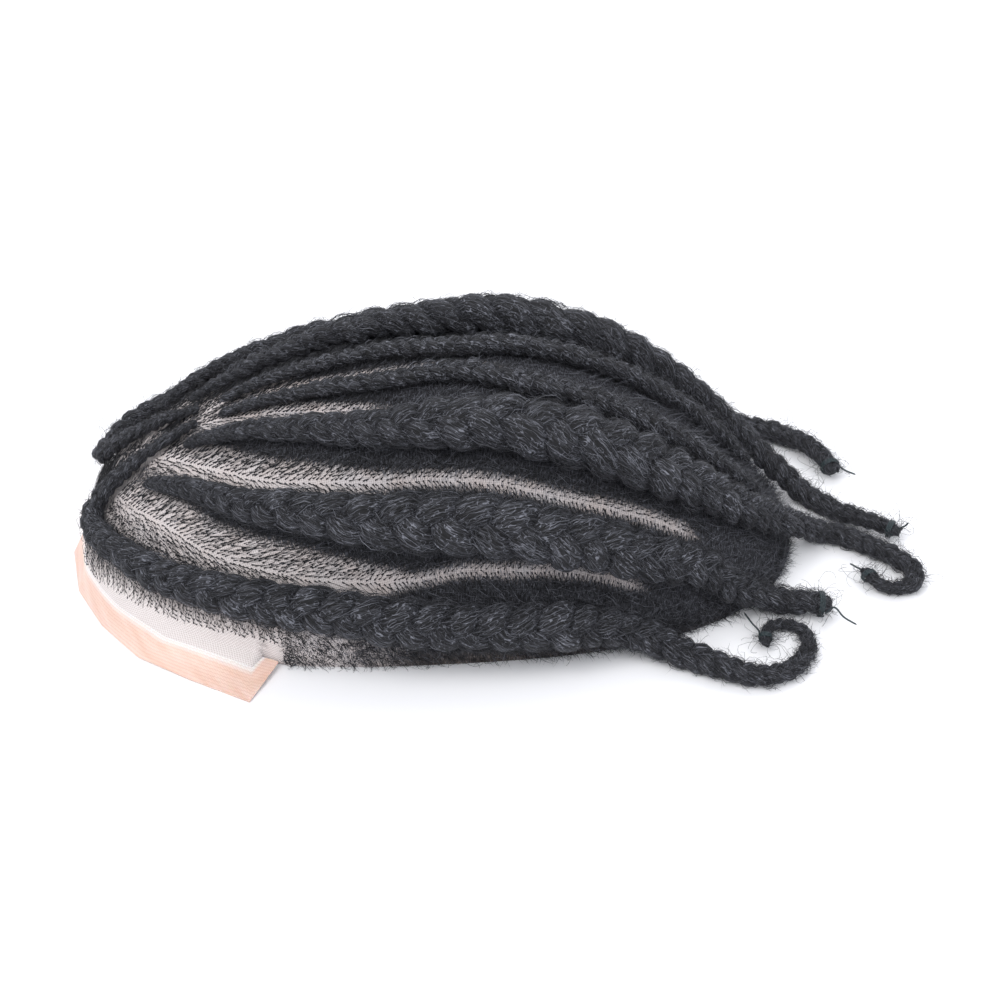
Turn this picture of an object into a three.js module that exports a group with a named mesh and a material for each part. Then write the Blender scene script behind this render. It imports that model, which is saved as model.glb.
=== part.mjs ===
// A cornrow lace toupee: a thin lace dome with a clear tape edge in front,
// eight braids that lie on it from the hairline over the crown, and the six braid tails
// that run on past the back edge and lie on the table, each tied with thread.
// Millimetres, +Z up. The front faces -Y and the wearer's left is +X.
// Every shape is worked out round the crown at x = 0, y = 0, with the table at z = 0,
// and the whole group is then moved to stand on the middle of its own box.

import * as THREE from "three";

// Lace dome
const HALF_WIDTH = 60; // crown line to side edge, seen from above
const FRONT_REACH = 121; // crown to where the dome would meet the table in front
const BACK_REACH = 108; // crown to back edge
const CROWN_HEIGHT = 65;
const LACE_WALL = 1.2;
const OUTLINE_POWER = 2.5; // 2 is an ellipse from above, more is squarer
const SIDE_POWER = 2; // side and front slopes are round
const SIDE_ROOT = 0.5; // and steep at the edge
const BACK_POWER = 1.9; // the back slope is straighter
const BACK_ROOT = 0.92; // and leaner at the edge
const HAIRLINE_FRONT = 0.75; // share of the way from crown to edge, at the middle of the front
const MARGIN_SHARE = 0.985; // where the lace margin starts, on the sides and back

// Tape edge in front
const TAPE_WIDTH = 11;
const TAPE_END_WIDTH = 6;
const TAPE_THICKNESS = 1;
const TAPE_END_ANGLE = 45; // degrees from straight ahead to the tape's end on the dome

// Braids
const BRAID_WIDTH = 16;
const BRAID_FLATNESS = 0.78; // height over width
const LOBE_PITCH = 12; // length of one lobe of the plait
const LOBE_DEPTH = 0.15; // how far a lobe swells, as a share of the half width
const BRAID_SIDES = 8;
const STEPS_PER_LOBE = 3;

// Thread ties round the tails' ends
const TIE_LENGTH = 2.2;
const TIE_WALL = 0.6;
const TIE_FROM_END = 3.5;

// Gaps between pieces
const CLEARANCE = 0.3; // between the lace and the tape
const TAPE_END_GAP = 0.8; // between the tape's ends and the dome, which leans out there
const BRAID_CLEARANCE = 0.6; // under a braid, where the dome bends between its sections
const TIE_CLEARANCE = 0.45; // inside a tie, where the tail bends through it
const DEGREE = Math.PI / 180;

// Mesh fineness of the dome
const RINGS_ON_DOME = 9;
const RINGS_ON_EDGE = 3;
const COLUMNS_IN_FRONT = 7; // each side, across the tape
const COLUMNS_BEHIND = 14; // each side, from the tape's end to the back
const COLUMNS_HALF = COLUMNS_IN_FRONT + 1 + COLUMNS_BEHIND;
const SMALL_STEP = 1e-3; // on the chart and on the front sheet, for reading a slope
const SMOOTH_LIMIT = 0.99; // past it the dome's slope is read here, where it is still smooth
const CURVE_STEPS_PER_ROW = 20;

// Outer edge of the tape on the table. Columns: share of the way from the middle to the tape's
// end, x as a share of HALF_WIDTH, distance ahead of the crown as a share of FRONT_REACH.
const TAPE_OUTLINE = [
  [0.0, 0.0, 1.03],
  [0.22, 0.315, 0.998],
  [0.45, 0.59, 0.925],
  [0.65, 0.845, 0.825],
  [0.82, 1.03, 0.69],
  [1.0, 1.21, 0.54],
];

// Courses of the braids on the dome, for the wearer's left; the right side mirrors them.
// They lie on a flat chart of the dome: the crown is 0 and the edge is 1 away from it.
// Columns: across (left is +), along (back is +), width as a share of BRAID_WIDTH.
const OUTER_COURSE = [
  [0.02, -0.445, 0.2],
  [0.035, -0.52, 0.3],
  [0.05, -0.6, 0.36],
  [0.07, -0.68, 0.42],
  [0.095, -0.735, 0.47],
  [0.145, -0.738, 0.52],
  [0.2, -0.715, 0.57],
  [0.27, -0.695, 0.64],
  [0.35, -0.665, 0.72],
  [0.43, -0.62, 0.79],
  [0.53, -0.555, 0.86],
  [0.66, -0.42, 0.93],
  [0.78, -0.22, 0.94],
  [0.83, 0.0, 0.94],
  [0.815, 0.17, 0.94],
  [0.76, 0.33, 0.9],
  [0.69, 0.475, 0.8],
  [0.65, 0.57, 0.69],
];
const SECOND_COURSE = [
  [0.11, -0.575, 0.24],
  [0.15, -0.53, 0.38],
  [0.2, -0.49, 0.5],
  [0.27, -0.455, 0.64],
  [0.35, -0.39, 0.82],
  [0.44, -0.3, 1.0],
  [0.51, -0.18, 1.1],
  [0.55, -0.02, 1.14],
  [0.55, 0.14, 1.14],
  [0.495, 0.31, 1.06],
  [0.42, 0.48, 0.92],
  [0.365, 0.61, 0.76],
  [0.375, 0.69, 0.66],
];
const THIRD_COURSE = [
  [0.065, -0.475, 0.22],
  [0.08, -0.41, 0.34],
  [0.1, -0.345, 0.46],
  [0.14, -0.28, 0.6],
  [0.19, -0.22, 0.74],
  [0.25, -0.13, 0.88],
  [0.275, 0.0, 1.02],
  [0.25, 0.14, 1.14],
  [0.21, 0.25, 1.2],
  [0.195, 0.36, 1.13],
  [0.19, 0.48, 0.95],
  [0.165, 0.64, 0.74],
];
const CENTRE_COURSE = [
  [0.02, -0.4, 0.2],
  [0.03, -0.31, 0.3],
  [0.035, -0.22, 0.36],
  [0.045, -0.12, 0.42],
  [0.065, 0.0, 0.46],
  [0.06, 0.12, 0.5],
  [0.065, 0.26, 0.5],
  [0.072, 0.4, 0.48],
  [0.07, 0.54, 0.42],
  [0.055, 0.68, 0.28],
];

// Tails on the table. Columns: x as a share of HALF_WIDTH, y as a share of BACK_REACH,
// width as a share of BRAID_WIDTH. Each tail lies as it fell, so left and right differ.
const OUTER_LEFT_TAIL = [
  [1.12, 0.61, 0.6],
  [1.2, 0.69, 0.54],
  [1.265, 0.78, 0.47],
  [1.245, 0.87, 0.4],
  [1.11, 0.945, 0.34],
  [0.96, 0.955, 0.29],
  [0.89, 0.905, 0.25],
  [0.945, 0.85, 0.21],
  [1.06, 0.83, 0.18],
];
const SECOND_LEFT_TAIL = [
  [0.75, 0.915, 0.6],
  [0.8, 0.99, 0.54],
  [0.815, 1.05, 0.42],
];
const THIRD_LEFT_TAIL = [
  [0.215, 1.11, 0.54],
  [0.3, 1.2, 0.49],
  [0.435, 1.29, 0.46],
  [0.54, 1.335, 0.42],
  [0.65, 1.315, 0.37],
  [0.672, 1.25, 0.31],
  [0.62, 1.205, 0.27],
  [0.53, 1.185, 0.24],
];
const THIRD_RIGHT_TAIL = [
  [-0.1, 1.1, 0.52],
  [0.02, 1.165, 0.47],
  [0.15, 1.25, 0.42],
  [0.255, 1.34, 0.32],
];
const SECOND_RIGHT_TAIL = [
  [-0.79, 0.92, 0.6],
  [-0.71, 1.07, 0.52],
  [-0.53, 1.165, 0.46],
  [-0.3, 1.215, 0.34],
];
const OUTER_RIGHT_TAIL = [
  [-1.13, 0.61, 0.6],
  [-1.19, 0.69, 0.52],
  [-1.22, 0.77, 0.44],
  [-1.15, 0.84, 0.36],
  [-1.04, 0.87, 0.31],
  [-0.93, 0.865, 0.28],
];
const TIED_ROWS = 2; // rows at a tail's end that lie on the tie, not on the table

// Colours
const HAIR_BLACK = 0x17171a;
const LACE_GREY = 0xb9b0ab;
const TAPE_PEACH = 0xf2cfb6;
const THREAD_TEAL = 0x1d3c42;

const mix = THREE.MathUtils.lerp;
const clamp = THREE.MathUtils.clamp;

// Reads a table whose first column rises, and returns its other columns at a value between rows.
function readTable(table, value) {
  const last = table.length - 1;
  let row = 0;
  while (row < last - 1 && table[row + 1][0] < value) row += 1;
  const [start, end] = [table[row], table[row + 1]];
  const share = clamp((value - start[0]) / (end[0] - start[0]), 0, 1);
  return start.slice(1).map((number, column) => mix(number, end[column + 1], share));
}

// Moves every vertex of a geometry to where the function puts it.
function reshape(geometry, place) {
  const position = geometry.getAttribute("position");
  const vertex = new THREE.Vector3();
  for (let index = 0; index < position.count; index += 1) {
    vertex.fromBufferAttribute(position, index);
    const moved = place(vertex);
    position.setXYZ(index, moved.x, moved.y, moved.z);
  }
  geometry.computeVertexNormals();
  return geometry;
}

// Distance from the crown to the dome's edge, at an angle from straight ahead.
function edgeReach(angle) {
  const ahead = Math.cos(angle);
  const reach = ahead > 0 ? FRONT_REACH : BACK_REACH;
  const sideways = Math.abs(Math.sin(angle)) / HALF_WIDTH;
  const lengthways = Math.abs(ahead) / reach;
  const sum = sideways ** OUTLINE_POWER + lengthways ** OUTLINE_POWER;
  return sum ** (-1 / OUTLINE_POWER);
}

// A point of the dome's inner skin from its place on the flat chart.
function domePoint(across, along) {
  const angle = Math.atan2(across, -along);
  const behind = Math.max(0, -Math.cos(angle)) ** 2;
  const power = mix(SIDE_POWER, BACK_POWER, behind);
  const root = mix(SIDE_ROOT, BACK_ROOT, behind);
  const fall = Math.min(Math.hypot(across, along), 1);
  const out = Math.sin((fall * Math.PI) / 2);
  const plan = edgeReach(angle) * out;
  const height = CROWN_HEIGHT * Math.max(0, 1 - out ** power) ** root;
  return new THREE.Vector3(plan * Math.sin(angle), -plan * Math.cos(angle), height);
}

// Outward direction of a surface, from two points a small step apart each way.
function outward(surface, a, b) {
  const along = surface(a + SMALL_STEP, b).sub(surface(a - SMALL_STEP, b));
  const down = surface(a, b + SMALL_STEP).sub(surface(a, b - SMALL_STEP));
  const normal = along.cross(down).normalize();
  return normal.z < 0 ? normal.negate() : normal;
}

// The dome's outward direction.
function domeNormal(across, along) {
  const distance = Math.hypot(across, along);
  const inside = distance > SMOOTH_LIMIT ? SMOOTH_LIMIT / distance : 1;
  return outward(domePoint, across * inside, along * inside);
}

// How far from the crown the hairline lies, at an angle from straight ahead.
function hairline(angle) {
  const share = clamp(Math.abs(angle) / (TAPE_END_ANGLE * DEGREE), 0, 1);
  return mix(HAIRLINE_FRONT, MARGIN_SHARE, share);
}

// The sheet in front of the hairline, from the hairline (out = 0) to the tape's outer edge
// on the table (out = 1). The turn goes from -1 at the right end to 1 at the left end.
function frontSheet(turn, out) {
  const angle = turn * TAPE_END_ANGLE * DEGREE;
  const distance = hairline(angle);
  const start = domePoint(distance * Math.sin(angle), -distance * Math.cos(angle));
  const [side, ahead] = readTable(TAPE_OUTLINE, Math.abs(turn));
  const end = new THREE.Vector3(
    Math.sign(turn) * side * HALF_WIDTH,
    -ahead * FRONT_REACH,
    0,
  );
  return start.lerp(end, out);
}

function frontPoint(turn, out, layer, thickness) {
  const inside = clamp(out, SMALL_STEP, 1 - SMALL_STEP);
  const normal = outward(frontSheet, clamp(turn, SMALL_STEP - 1, 1 - SMALL_STEP), inside);
  return frontSheet(turn, out).addScaledVector(normal, layer * thickness);
}

// Length of the front sheet from hairline to outer edge.
function sheetLength(turn) {
  return frontSheet(turn, 0).distanceTo(frontSheet(turn, 1));
}

// Where the tape's inner edge lies on the sheet, and where the lace stops short of it.
const tapeInner = (turn) => 1 - TAPE_WIDTH / sheetLength(turn);
const laceOuter = (turn) => tapeInner(turn) - CLEARANCE / sheetLength(turn);

// The turn at which the tape's end strip begins, and at which the lace stops short of it.
// The spread is the sheet's width there for one whole turn.
const NEAR_END = 0.8;
const HALF_OUT = 0.5;
const endSpread =
  frontSheet(1, HALF_OUT).distanceTo(frontSheet(NEAR_END, HALF_OUT)) / (1 - NEAR_END);
const TAPE_END_TURN = 1 - TAPE_END_WIDTH / endSpread;
const LACE_END_TURN = TAPE_END_TURN - (LACE_WALL + CLEARANCE) / endSpread;
const STEP_PAST_TAPE = (CLEARANCE / endSpread) * TAPE_END_ANGLE * DEGREE;

// The turn of each column of the front, the same for the lace and for the tape.
const columnTurn = (step) => (step / COLUMNS_IN_FRONT) * LACE_END_TURN;

// The lace base is a disc with two skins, bent over the dome. Its outer rings follow
// the front sheet up to the tape, and elsewhere the margin down to the table.
function laceBase() {
  const rings = RINGS_ON_DOME + RINGS_ON_EDGE;
  const profile = [];
  for (let ring = 0; ring <= rings; ring += 1) profile.push(new THREE.Vector2(ring, 0));
  for (let ring = rings; ring >= 0; ring -= 1) profile.push(new THREE.Vector2(ring, 1));
  const columns = 2 * COLUMNS_HALF;
  const disc = new THREE.LatheGeometry(profile, columns);

  return reshape(disc, (vertex) => {
    const ring = Math.round(Math.hypot(vertex.x, vertex.z));
    const layer = vertex.y;
    const column = (Math.atan2(vertex.x, vertex.z) / (2 * Math.PI)) * columns;
    const step = Math.abs(Math.round(column));
    const side = Math.sign(column) || 1;
    const frontTurn = columnTurn(step);
    const frontEnd = LACE_END_TURN * TAPE_END_ANGLE * DEGREE;
    const rearStart = frontEnd + STEP_PAST_TAPE;
    const rearShare = (step - COLUMNS_IN_FRONT - 1) / COLUMNS_BEHIND;
    const inFront = step <= COLUMNS_IN_FRONT;
    const angle = inFront
      ? frontTurn * TAPE_END_ANGLE * DEGREE
      : mix(rearStart, Math.PI, rearShare);
    const edgeShare = (ring - RINGS_ON_DOME) / RINGS_ON_EDGE;
    if (inFront && edgeShare > 0) {
      const turn = side * frontTurn;
      return frontPoint(turn, edgeShare * laceOuter(turn), layer, LACE_WALL);
    }
    const distance =
      edgeShare > 0
        ? mix(hairline(angle), 1, edgeShare)
        : (ring / RINGS_ON_DOME) * hairline(angle);
    const across = side * distance * Math.sin(angle);
    const along = -distance * Math.cos(angle);
    const normal = domeNormal(across, along);
    if (ring === rings) normal.setZ(0).normalize(); // the rim lies flat on the table
    return domePoint(across, along).addScaledVector(normal, layer * LACE_WALL);
  });
}

// The tape is a flat strip bent round the front: one end, the long front edge, the other end.
// Each row gives the places on the front sheet of the strip's inner and outer corner.
function tapeRows() {
  const endStart = (LACE_WALL + TAPE_END_GAP) / sheetLength(1);
  const half = [
    { inner: [TAPE_END_TURN, endStart], outer: [1, endStart] },
    { inner: [TAPE_END_TURN, tapeInner(TAPE_END_TURN)], outer: [1, 1] },
  ];
  for (let step = COLUMNS_IN_FRONT - 1; step >= 0; step -= 1) {
    const turn = columnTurn(step);
    half.push({ inner: [turn, tapeInner(turn)], outer: [turn, 1] });
  }
  const mirrored = half
    .slice(0, -1)
    .reverse()
    .map(({ inner, outer }) => ({
      inner: [-inner[0], inner[1]],
      outer: [-outer[0], outer[1]],
    }));
  return [...half, ...mirrored];
}

function tapeBorder() {
  const rows = tapeRows();
  const steps = rows.length - 1;
  const strip = new THREE.BoxGeometry(steps, 1, 1, steps, 1, 1);
  return reshape(strip, (vertex) => {
    const row = rows[Math.round(vertex.x + steps / 2)];
    const [turn, out] = vertex.z > 0 ? row.inner : row.outer;
    return frontPoint(turn, out, vertex.y + 1 / 2, TAPE_THICKNESS);
  });
}

// The middle line of a braid with its width and its upward direction at each row.
function braidPath(course, tail, side) {
  const rows = [];
  for (const [across, along, share] of course) {
    const width = share * BRAID_WIDTH;
    const up = domeNormal(side * across, along);
    const lift = LACE_WALL + BRAID_CLEARANCE + (width * BRAID_FLATNESS) / 2;
    const point = domePoint(side * across, along).addScaledVector(up, lift);
    rows.push({ point, up, width });
  }
  tail.forEach(([x, y, share], index) => {
    const width = share * BRAID_WIDTH;
    const tied = index >= tail.length - TIED_ROWS;
    const room = tied ? 2 * TIE_WALL + TIE_CLEARANCE : 0;
    const lift = (width * BRAID_FLATNESS) / 2 + room;
    const point = new THREE.Vector3(x * HALF_WIDTH, y * BACK_REACH, lift);
    rows.push({ point, up: new THREE.Vector3(0, 0, 1), width });
  });
  const curve = new THREE.CatmullRomCurve3(rows.map(({ point }) => point), false, "centripetal");
  curve.arcLengthDivisions = CURVE_STEPS_PER_ROW * rows.length;
  return { rows, curve, length: curve.getLength() };
}

// Middle point, sideways and upward directions and half sizes of a braid at a share of its length.
function braidSection({ rows, curve, length }, share) {
  const parameter = curve.getUtoTmapping(share);
  const place = parameter * (rows.length - 1);
  const index = Math.min(Math.floor(place), rows.length - 2);
  const [start, end] = [rows[index], rows[index + 1]];
  const blend = place - index;
  const tangent = curve.getTangent(parameter);
  const lean = start.up.clone().lerp(end.up, blend);
  const sideways = tangent.clone().cross(lean).normalize();
  const up = sideways.clone().cross(tangent);
  const halfWidth = mix(start.width, end.width, blend) / 2;
  const halfHeight = halfWidth * BRAID_FLATNESS;
  const middle = curve.getPoint(parameter);
  middle.z = Math.max(middle.z, halfHeight);
  const toEnd = (1 - share) * length;
  const fade = clamp(toEnd / LOBE_PITCH - 1, 0, 1);
  const swell = fade * LOBE_DEPTH * Math.cos((2 * Math.PI * share * length) / LOBE_PITCH);
  return { middle, sideways, up, halfWidth, halfHeight, swell };
}

// A closed loft along the path. Its lobes swell left and right in turn, over a flat underside.
function braid(path) {
  const steps = Math.round((path.length / LOBE_PITCH) * STEPS_PER_LOBE);
  const flat = Math.cos(Math.PI / BRAID_SIDES);
  const rod = new THREE.CylinderGeometry(
    1 / flat,
    1 / flat,
    1,
    BRAID_SIDES,
    steps,
    false,
    Math.PI / BRAID_SIDES,
  );
  const sections = [];
  for (let step = 0; step <= steps; step += 1) sections.push(braidSection(path, step / steps));
  return reshape(rod, (vertex) => {
    const section = sections[Math.round((vertex.y + 1 / 2) * steps)];
    const grown = 1 + section.swell * Math.sign(vertex.x);
    const rise = vertex.z > 0 ? grown : 1;
    return section.middle
      .clone()
      .addScaledVector(section.sideways, vertex.x * grown * section.halfWidth)
      .addScaledVector(section.up, vertex.z * rise * section.halfHeight);
  });
}

// A short sleeve of thread round a tail, near its end.
function threadTie(path) {
  const share = 1 - TIE_FROM_END / path.length;
  const section = braidSection(path, share);
  const thicker = braidSection(path, share - TIE_LENGTH / path.length);
  const inner = thicker.halfWidth + TIE_CLEARANCE;
  const outer = inner + TIE_WALL;
  const half = TIE_LENGTH / 2;
  const flat = Math.cos(Math.PI / BRAID_SIDES);
  const profile = [
    new THREE.Vector2(inner / flat, -half),
    new THREE.Vector2(outer / flat, -half),
    new THREE.Vector2(outer / flat, half),
    new THREE.Vector2(inner / flat, half),
    new THREE.Vector2(inner / flat, -half),
  ];
  const sleeve = new THREE.LatheGeometry(profile, BRAID_SIDES, Math.PI / BRAID_SIDES);
  const forward = section.up.clone().cross(section.sideways);
  const squash = (thicker.halfHeight + TIE_CLEARANCE) / inner;
  return reshape(sleeve, (vertex) =>
    section.middle
      .clone()
      .addScaledVector(section.sideways, vertex.x)
      .addScaledVector(forward, vertex.y)
      .addScaledVector(section.up, vertex.z * squash),
  );
}

const hair = new THREE.MeshStandardMaterial({
  color: HAIR_BLACK,
  roughness: 0.75,
  metalness: 0,
});
const lace = new THREE.MeshStandardMaterial({
  color: LACE_GREY,
  roughness: 0.9,
  metalness: 0,
});
const tape = new THREE.MeshStandardMaterial({
  color: TAPE_PEACH,
  roughness: 0.45,
  metalness: 0,
});
const thread = new THREE.MeshStandardMaterial({
  color: THREAD_TEAL,
  roughness: 0.7,
  metalness: 0,
});

const toupee = new THREE.Group();

function addPiece(name, geometry, material) {
  const mesh = new THREE.Mesh(geometry, material.clone());
  mesh.name = name;
  toupee.add(mesh);
}

addPiece("lace_base", laceBase(), lace);
addPiece("tape_border", tapeBorder(), tape);

const BRAIDS = [
  { name: "outer_left", course: OUTER_COURSE, tail: OUTER_LEFT_TAIL, side: 1 },
  { name: "outer_right", course: OUTER_COURSE, tail: OUTER_RIGHT_TAIL, side: -1 },
  { name: "second_left", course: SECOND_COURSE, tail: SECOND_LEFT_TAIL, side: 1 },
  { name: "second_right", course: SECOND_COURSE, tail: SECOND_RIGHT_TAIL, side: -1 },
  { name: "third_left", course: THIRD_COURSE, tail: THIRD_LEFT_TAIL, side: 1 },
  { name: "third_right", course: THIRD_COURSE, tail: THIRD_RIGHT_TAIL, side: -1 },
  { name: "centre_left", course: CENTRE_COURSE, tail: [], side: 1 },
  { name: "centre_right", course: CENTRE_COURSE, tail: [], side: -1 },
];
for (const { name, course, tail, side } of BRAIDS) {
  const path = braidPath(course, tail, side);
  addPiece(`braid_${name}`, braid(path), hair);
  if (tail.length) addPiece(`thread_tie_${name}`, threadTie(path), thread);
}

const box = new THREE.Box3().setFromObject(toupee, true);
const middle = box.getCenter(new THREE.Vector3());
toupee.position.set(-middle.x, -middle.y, -box.min.z);

export default toupee;
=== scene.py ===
"""A black cornrow lace toupee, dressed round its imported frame.

The lace, the tape, eight plaits, their frizz, the short hair along the partings and the thread
ties are built here. Their courses repeat the tables of the part, so every piece lies where its
solid lies. Lengths are in millimetres until a mesh is made.
"""

import math

import bmesh
import bpy
import numpy as np
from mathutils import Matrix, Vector


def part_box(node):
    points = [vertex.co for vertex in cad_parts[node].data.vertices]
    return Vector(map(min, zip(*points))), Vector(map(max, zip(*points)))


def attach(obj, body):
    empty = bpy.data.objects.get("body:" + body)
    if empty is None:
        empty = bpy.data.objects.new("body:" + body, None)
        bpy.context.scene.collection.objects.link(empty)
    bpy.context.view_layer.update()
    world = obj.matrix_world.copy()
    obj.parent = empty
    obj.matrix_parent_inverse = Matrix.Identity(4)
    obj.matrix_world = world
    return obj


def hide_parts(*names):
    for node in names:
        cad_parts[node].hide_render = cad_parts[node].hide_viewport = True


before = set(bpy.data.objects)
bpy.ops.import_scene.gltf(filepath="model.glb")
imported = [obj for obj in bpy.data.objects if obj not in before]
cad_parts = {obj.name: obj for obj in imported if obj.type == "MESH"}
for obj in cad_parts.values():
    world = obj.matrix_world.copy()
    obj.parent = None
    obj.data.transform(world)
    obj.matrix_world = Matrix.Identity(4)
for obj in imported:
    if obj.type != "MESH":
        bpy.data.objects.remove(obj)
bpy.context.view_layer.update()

bl_info = {
    "name": "Cornrow toupee",
    "version": (1, 0, 0),
    "blender": (4, 5, 0),
    "location": "View3D > Sidebar > Toupee",
    "description": "Dresses the toupee's frame with lace, tape, plaits, frizz and thread",
    "category": "Object",
}

MM = 0.001

# Lace dome, as in the part
HALF_WIDTH = 60
FRONT_REACH = 121
BACK_REACH = 108
CROWN_HEIGHT = 65
LACE_WALL = 1.2
OUTLINE_POWER = 2.5
SIDE_POWER = 2
SIDE_ROOT = 0.5
BACK_POWER = 1.9
BACK_ROOT = 0.92
HAIRLINE_FRONT = 0.75
MARGIN_SHARE = 0.985
TAPE_WIDTH = 11
TAPE_END_WIDTH = 6
TAPE_END_ANGLE = math.radians(45)
TAPE_END_GAP = 0.8
CLEARANCE = 0.3
BRAID_CLEARANCE = 0.6
BRAID_WIDTH = 16
BRAID_FLATNESS = 0.78
TIE_WALL = 0.6
TIE_CLEARANCE = 0.45
TIE_FROM_END = 3.5
TIED_ROWS = 2
SMALL_STEP = 1e-3  # on the chart and on the front sheet, for reading a slope
SMOOTH_LIMIT = 0.99  # past it the dome's slope is read here, where it is still smooth
COURSE_STEPS = 40  # of the smooth line, for each row of a course

# Outer edge of the tape: share of the turn, x share, share ahead
TAPE_OUTLINE = np.array([
    [0.0, 0.0, 1.03],
    [0.22, 0.315, 0.998],
    [0.45, 0.59, 0.925],
    [0.65, 0.845, 0.825],
    [0.82, 1.03, 0.69],
    [1.0, 1.21, 0.54],
])

# Courses on the dome's flat chart, for the wearer's left: across, along, share of the width
OUTER_COURSE = [
    [0.02, -0.445, 0.2],
    [0.035, -0.52, 0.3],
    [0.05, -0.6, 0.36],
    [0.07, -0.68, 0.42],
    [0.095, -0.735, 0.47],
    [0.145, -0.738, 0.52],
    [0.2, -0.715, 0.57],
    [0.27, -0.695, 0.64],
    [0.35, -0.665, 0.72],
    [0.43, -0.62, 0.79],
    [0.53, -0.555, 0.86],
    [0.66, -0.42, 0.93],
    [0.78, -0.22, 0.94],
    [0.83, 0.0, 0.94],
    [0.815, 0.17, 0.94],
    [0.76, 0.33, 0.9],
    [0.69, 0.475, 0.8],
    [0.65, 0.57, 0.69],
]
SECOND_COURSE = [
    [0.11, -0.575, 0.24],
    [0.15, -0.53, 0.38],
    [0.2, -0.49, 0.5],
    [0.27, -0.455, 0.64],
    [0.35, -0.39, 0.82],
    [0.44, -0.3, 1.0],
    [0.51, -0.18, 1.1],
    [0.55, -0.02, 1.14],
    [0.55, 0.14, 1.14],
    [0.495, 0.31, 1.06],
    [0.42, 0.48, 0.92],
    [0.365, 0.61, 0.76],
    [0.375, 0.69, 0.66],
]
THIRD_COURSE = [
    [0.065, -0.475, 0.22],
    [0.08, -0.41, 0.34],
    [0.1, -0.345, 0.46],
    [0.14, -0.28, 0.6],
    [0.19, -0.22, 0.74],
    [0.25, -0.13, 0.88],
    [0.275, 0.0, 1.02],
    [0.25, 0.14, 1.14],
    [0.21, 0.25, 1.2],
    [0.195, 0.36, 1.13],
    [0.19, 0.48, 0.95],
    [0.165, 0.64, 0.74],
]
CENTRE_COURSE = [
    [0.02, -0.4, 0.2],
    [0.03, -0.31, 0.3],
    [0.035, -0.22, 0.36],
    [0.045, -0.12, 0.42],
    [0.065, 0.0, 0.46],
    [0.06, 0.12, 0.5],
    [0.065, 0.26, 0.5],
    [0.072, 0.4, 0.48],
    [0.07, 0.54, 0.42],
    [0.055, 0.68, 0.28],
]

# Tails on the table: share of HALF_WIDTH, share of BACK_REACH, share of the width
OUTER_LEFT_TAIL = [
    [1.12, 0.61, 0.6],
    [1.2, 0.69, 0.54],
    [1.265, 0.78, 0.47],
    [1.245, 0.87, 0.4],
    [1.11, 0.945, 0.34],
    [0.96, 0.955, 0.29],
    [0.89, 0.905, 0.25],
    [0.945, 0.85, 0.21],
    [1.06, 0.83, 0.18],
]
SECOND_LEFT_TAIL = [
    [0.75, 0.915, 0.6],
    [0.8, 0.99, 0.54],
    [0.815, 1.05, 0.42],
]
THIRD_LEFT_TAIL = [
    [0.215, 1.11, 0.54],
    [0.3, 1.2, 0.49],
    [0.435, 1.29, 0.46],
    [0.54, 1.335, 0.42],
    [0.65, 1.315, 0.37],
    [0.672, 1.25, 0.31],
    [0.62, 1.205, 0.27],
    [0.53, 1.185, 0.24],
]
THIRD_RIGHT_TAIL = [
    [-0.1, 1.1, 0.52],
    [0.02, 1.165, 0.47],
    [0.15, 1.25, 0.42],
    [0.255, 1.34, 0.32],
]
SECOND_RIGHT_TAIL = [
    [-0.79, 0.92, 0.6],
    [-0.71, 1.07, 0.52],
    [-0.53, 1.165, 0.46],
    [-0.3, 1.215, 0.34],
]
OUTER_RIGHT_TAIL = [
    [-1.13, 0.61, 0.6],
    [-1.19, 0.69, 0.52],
    [-1.22, 0.77, 0.44],
    [-1.15, 0.84, 0.36],
    [-1.04, 0.87, 0.31],
    [-0.93, 0.865, 0.28],
]

# Partings on the flat chart, for the wearer's left: across, along
PARTINGS = {
    "outer_second": [
        [0.1, -0.66],
        [0.22, -0.6],
        [0.32, -0.585],
        [0.43, -0.54],
        [0.53, -0.47],
        [0.68, -0.21],
        [0.69, 0.0],
        [0.67, 0.16],
        [0.59, 0.33],
        [0.52, 0.47],
        [0.5, 0.62],
    ],
    "second_third": [
        [0.07, -0.52],
        [0.14, -0.45],
        [0.21, -0.4],
        [0.27, -0.34],
        [0.35, -0.24],
        [0.4, -0.12],
        [0.42, 0.1],
        [0.37, 0.28],
        [0.3, 0.43],
        [0.27, 0.62],
    ],
    "third_centre": [
        [0.0, -0.52],
        [0.02, -0.42],
        [0.045, -0.33],
        [0.07, -0.25],
        [0.1, -0.18],
        [0.12, -0.11],
    ],
}
CENTRE_PARTING = [
    [0.0, -0.76],
    [0.0, -0.6],
    [0.0, -0.4],
    [0.0, -0.2],
    [0.0, 0.0],
    [0.0, 0.14],
]

OUTER_TURN = 4  # row of the outer course where it turns sideways, ahead of the parting

# Loose thread ends: three places each, in millimetres from the middle of the tie
THREAD_ENDS = {
    "outer_left": [[-2.5, -1.5, 0.4], [-7.0, -2.5, -0.6], [-12.5, -4.0, -0.9]],
    "second_left": [[3.0, 3.5, 1.0], [6.0, 6.0, -0.5], [8.5, 9.5, -1.6]],
    "third_left": [[-2.5, -2.0, 0.6], [-5.0, -3.5, 0.0], [-7.0, -4.2, -0.8]],
    "third_right": [[1.5, 2.5, 1.2], [2.2, 4.0, 2.8], [2.4, 4.8, 4.2]],
    "second_right": [[1.0, 2.5, 0.6], [3.0, 5.0, 0.0], [4.6, 8.0, -0.6]],
    "outer_right": [[2.0, -2.0, 0.5], [5.0, -3.5, -0.3], [8.0, -4.0, -0.8]],
}

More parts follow.
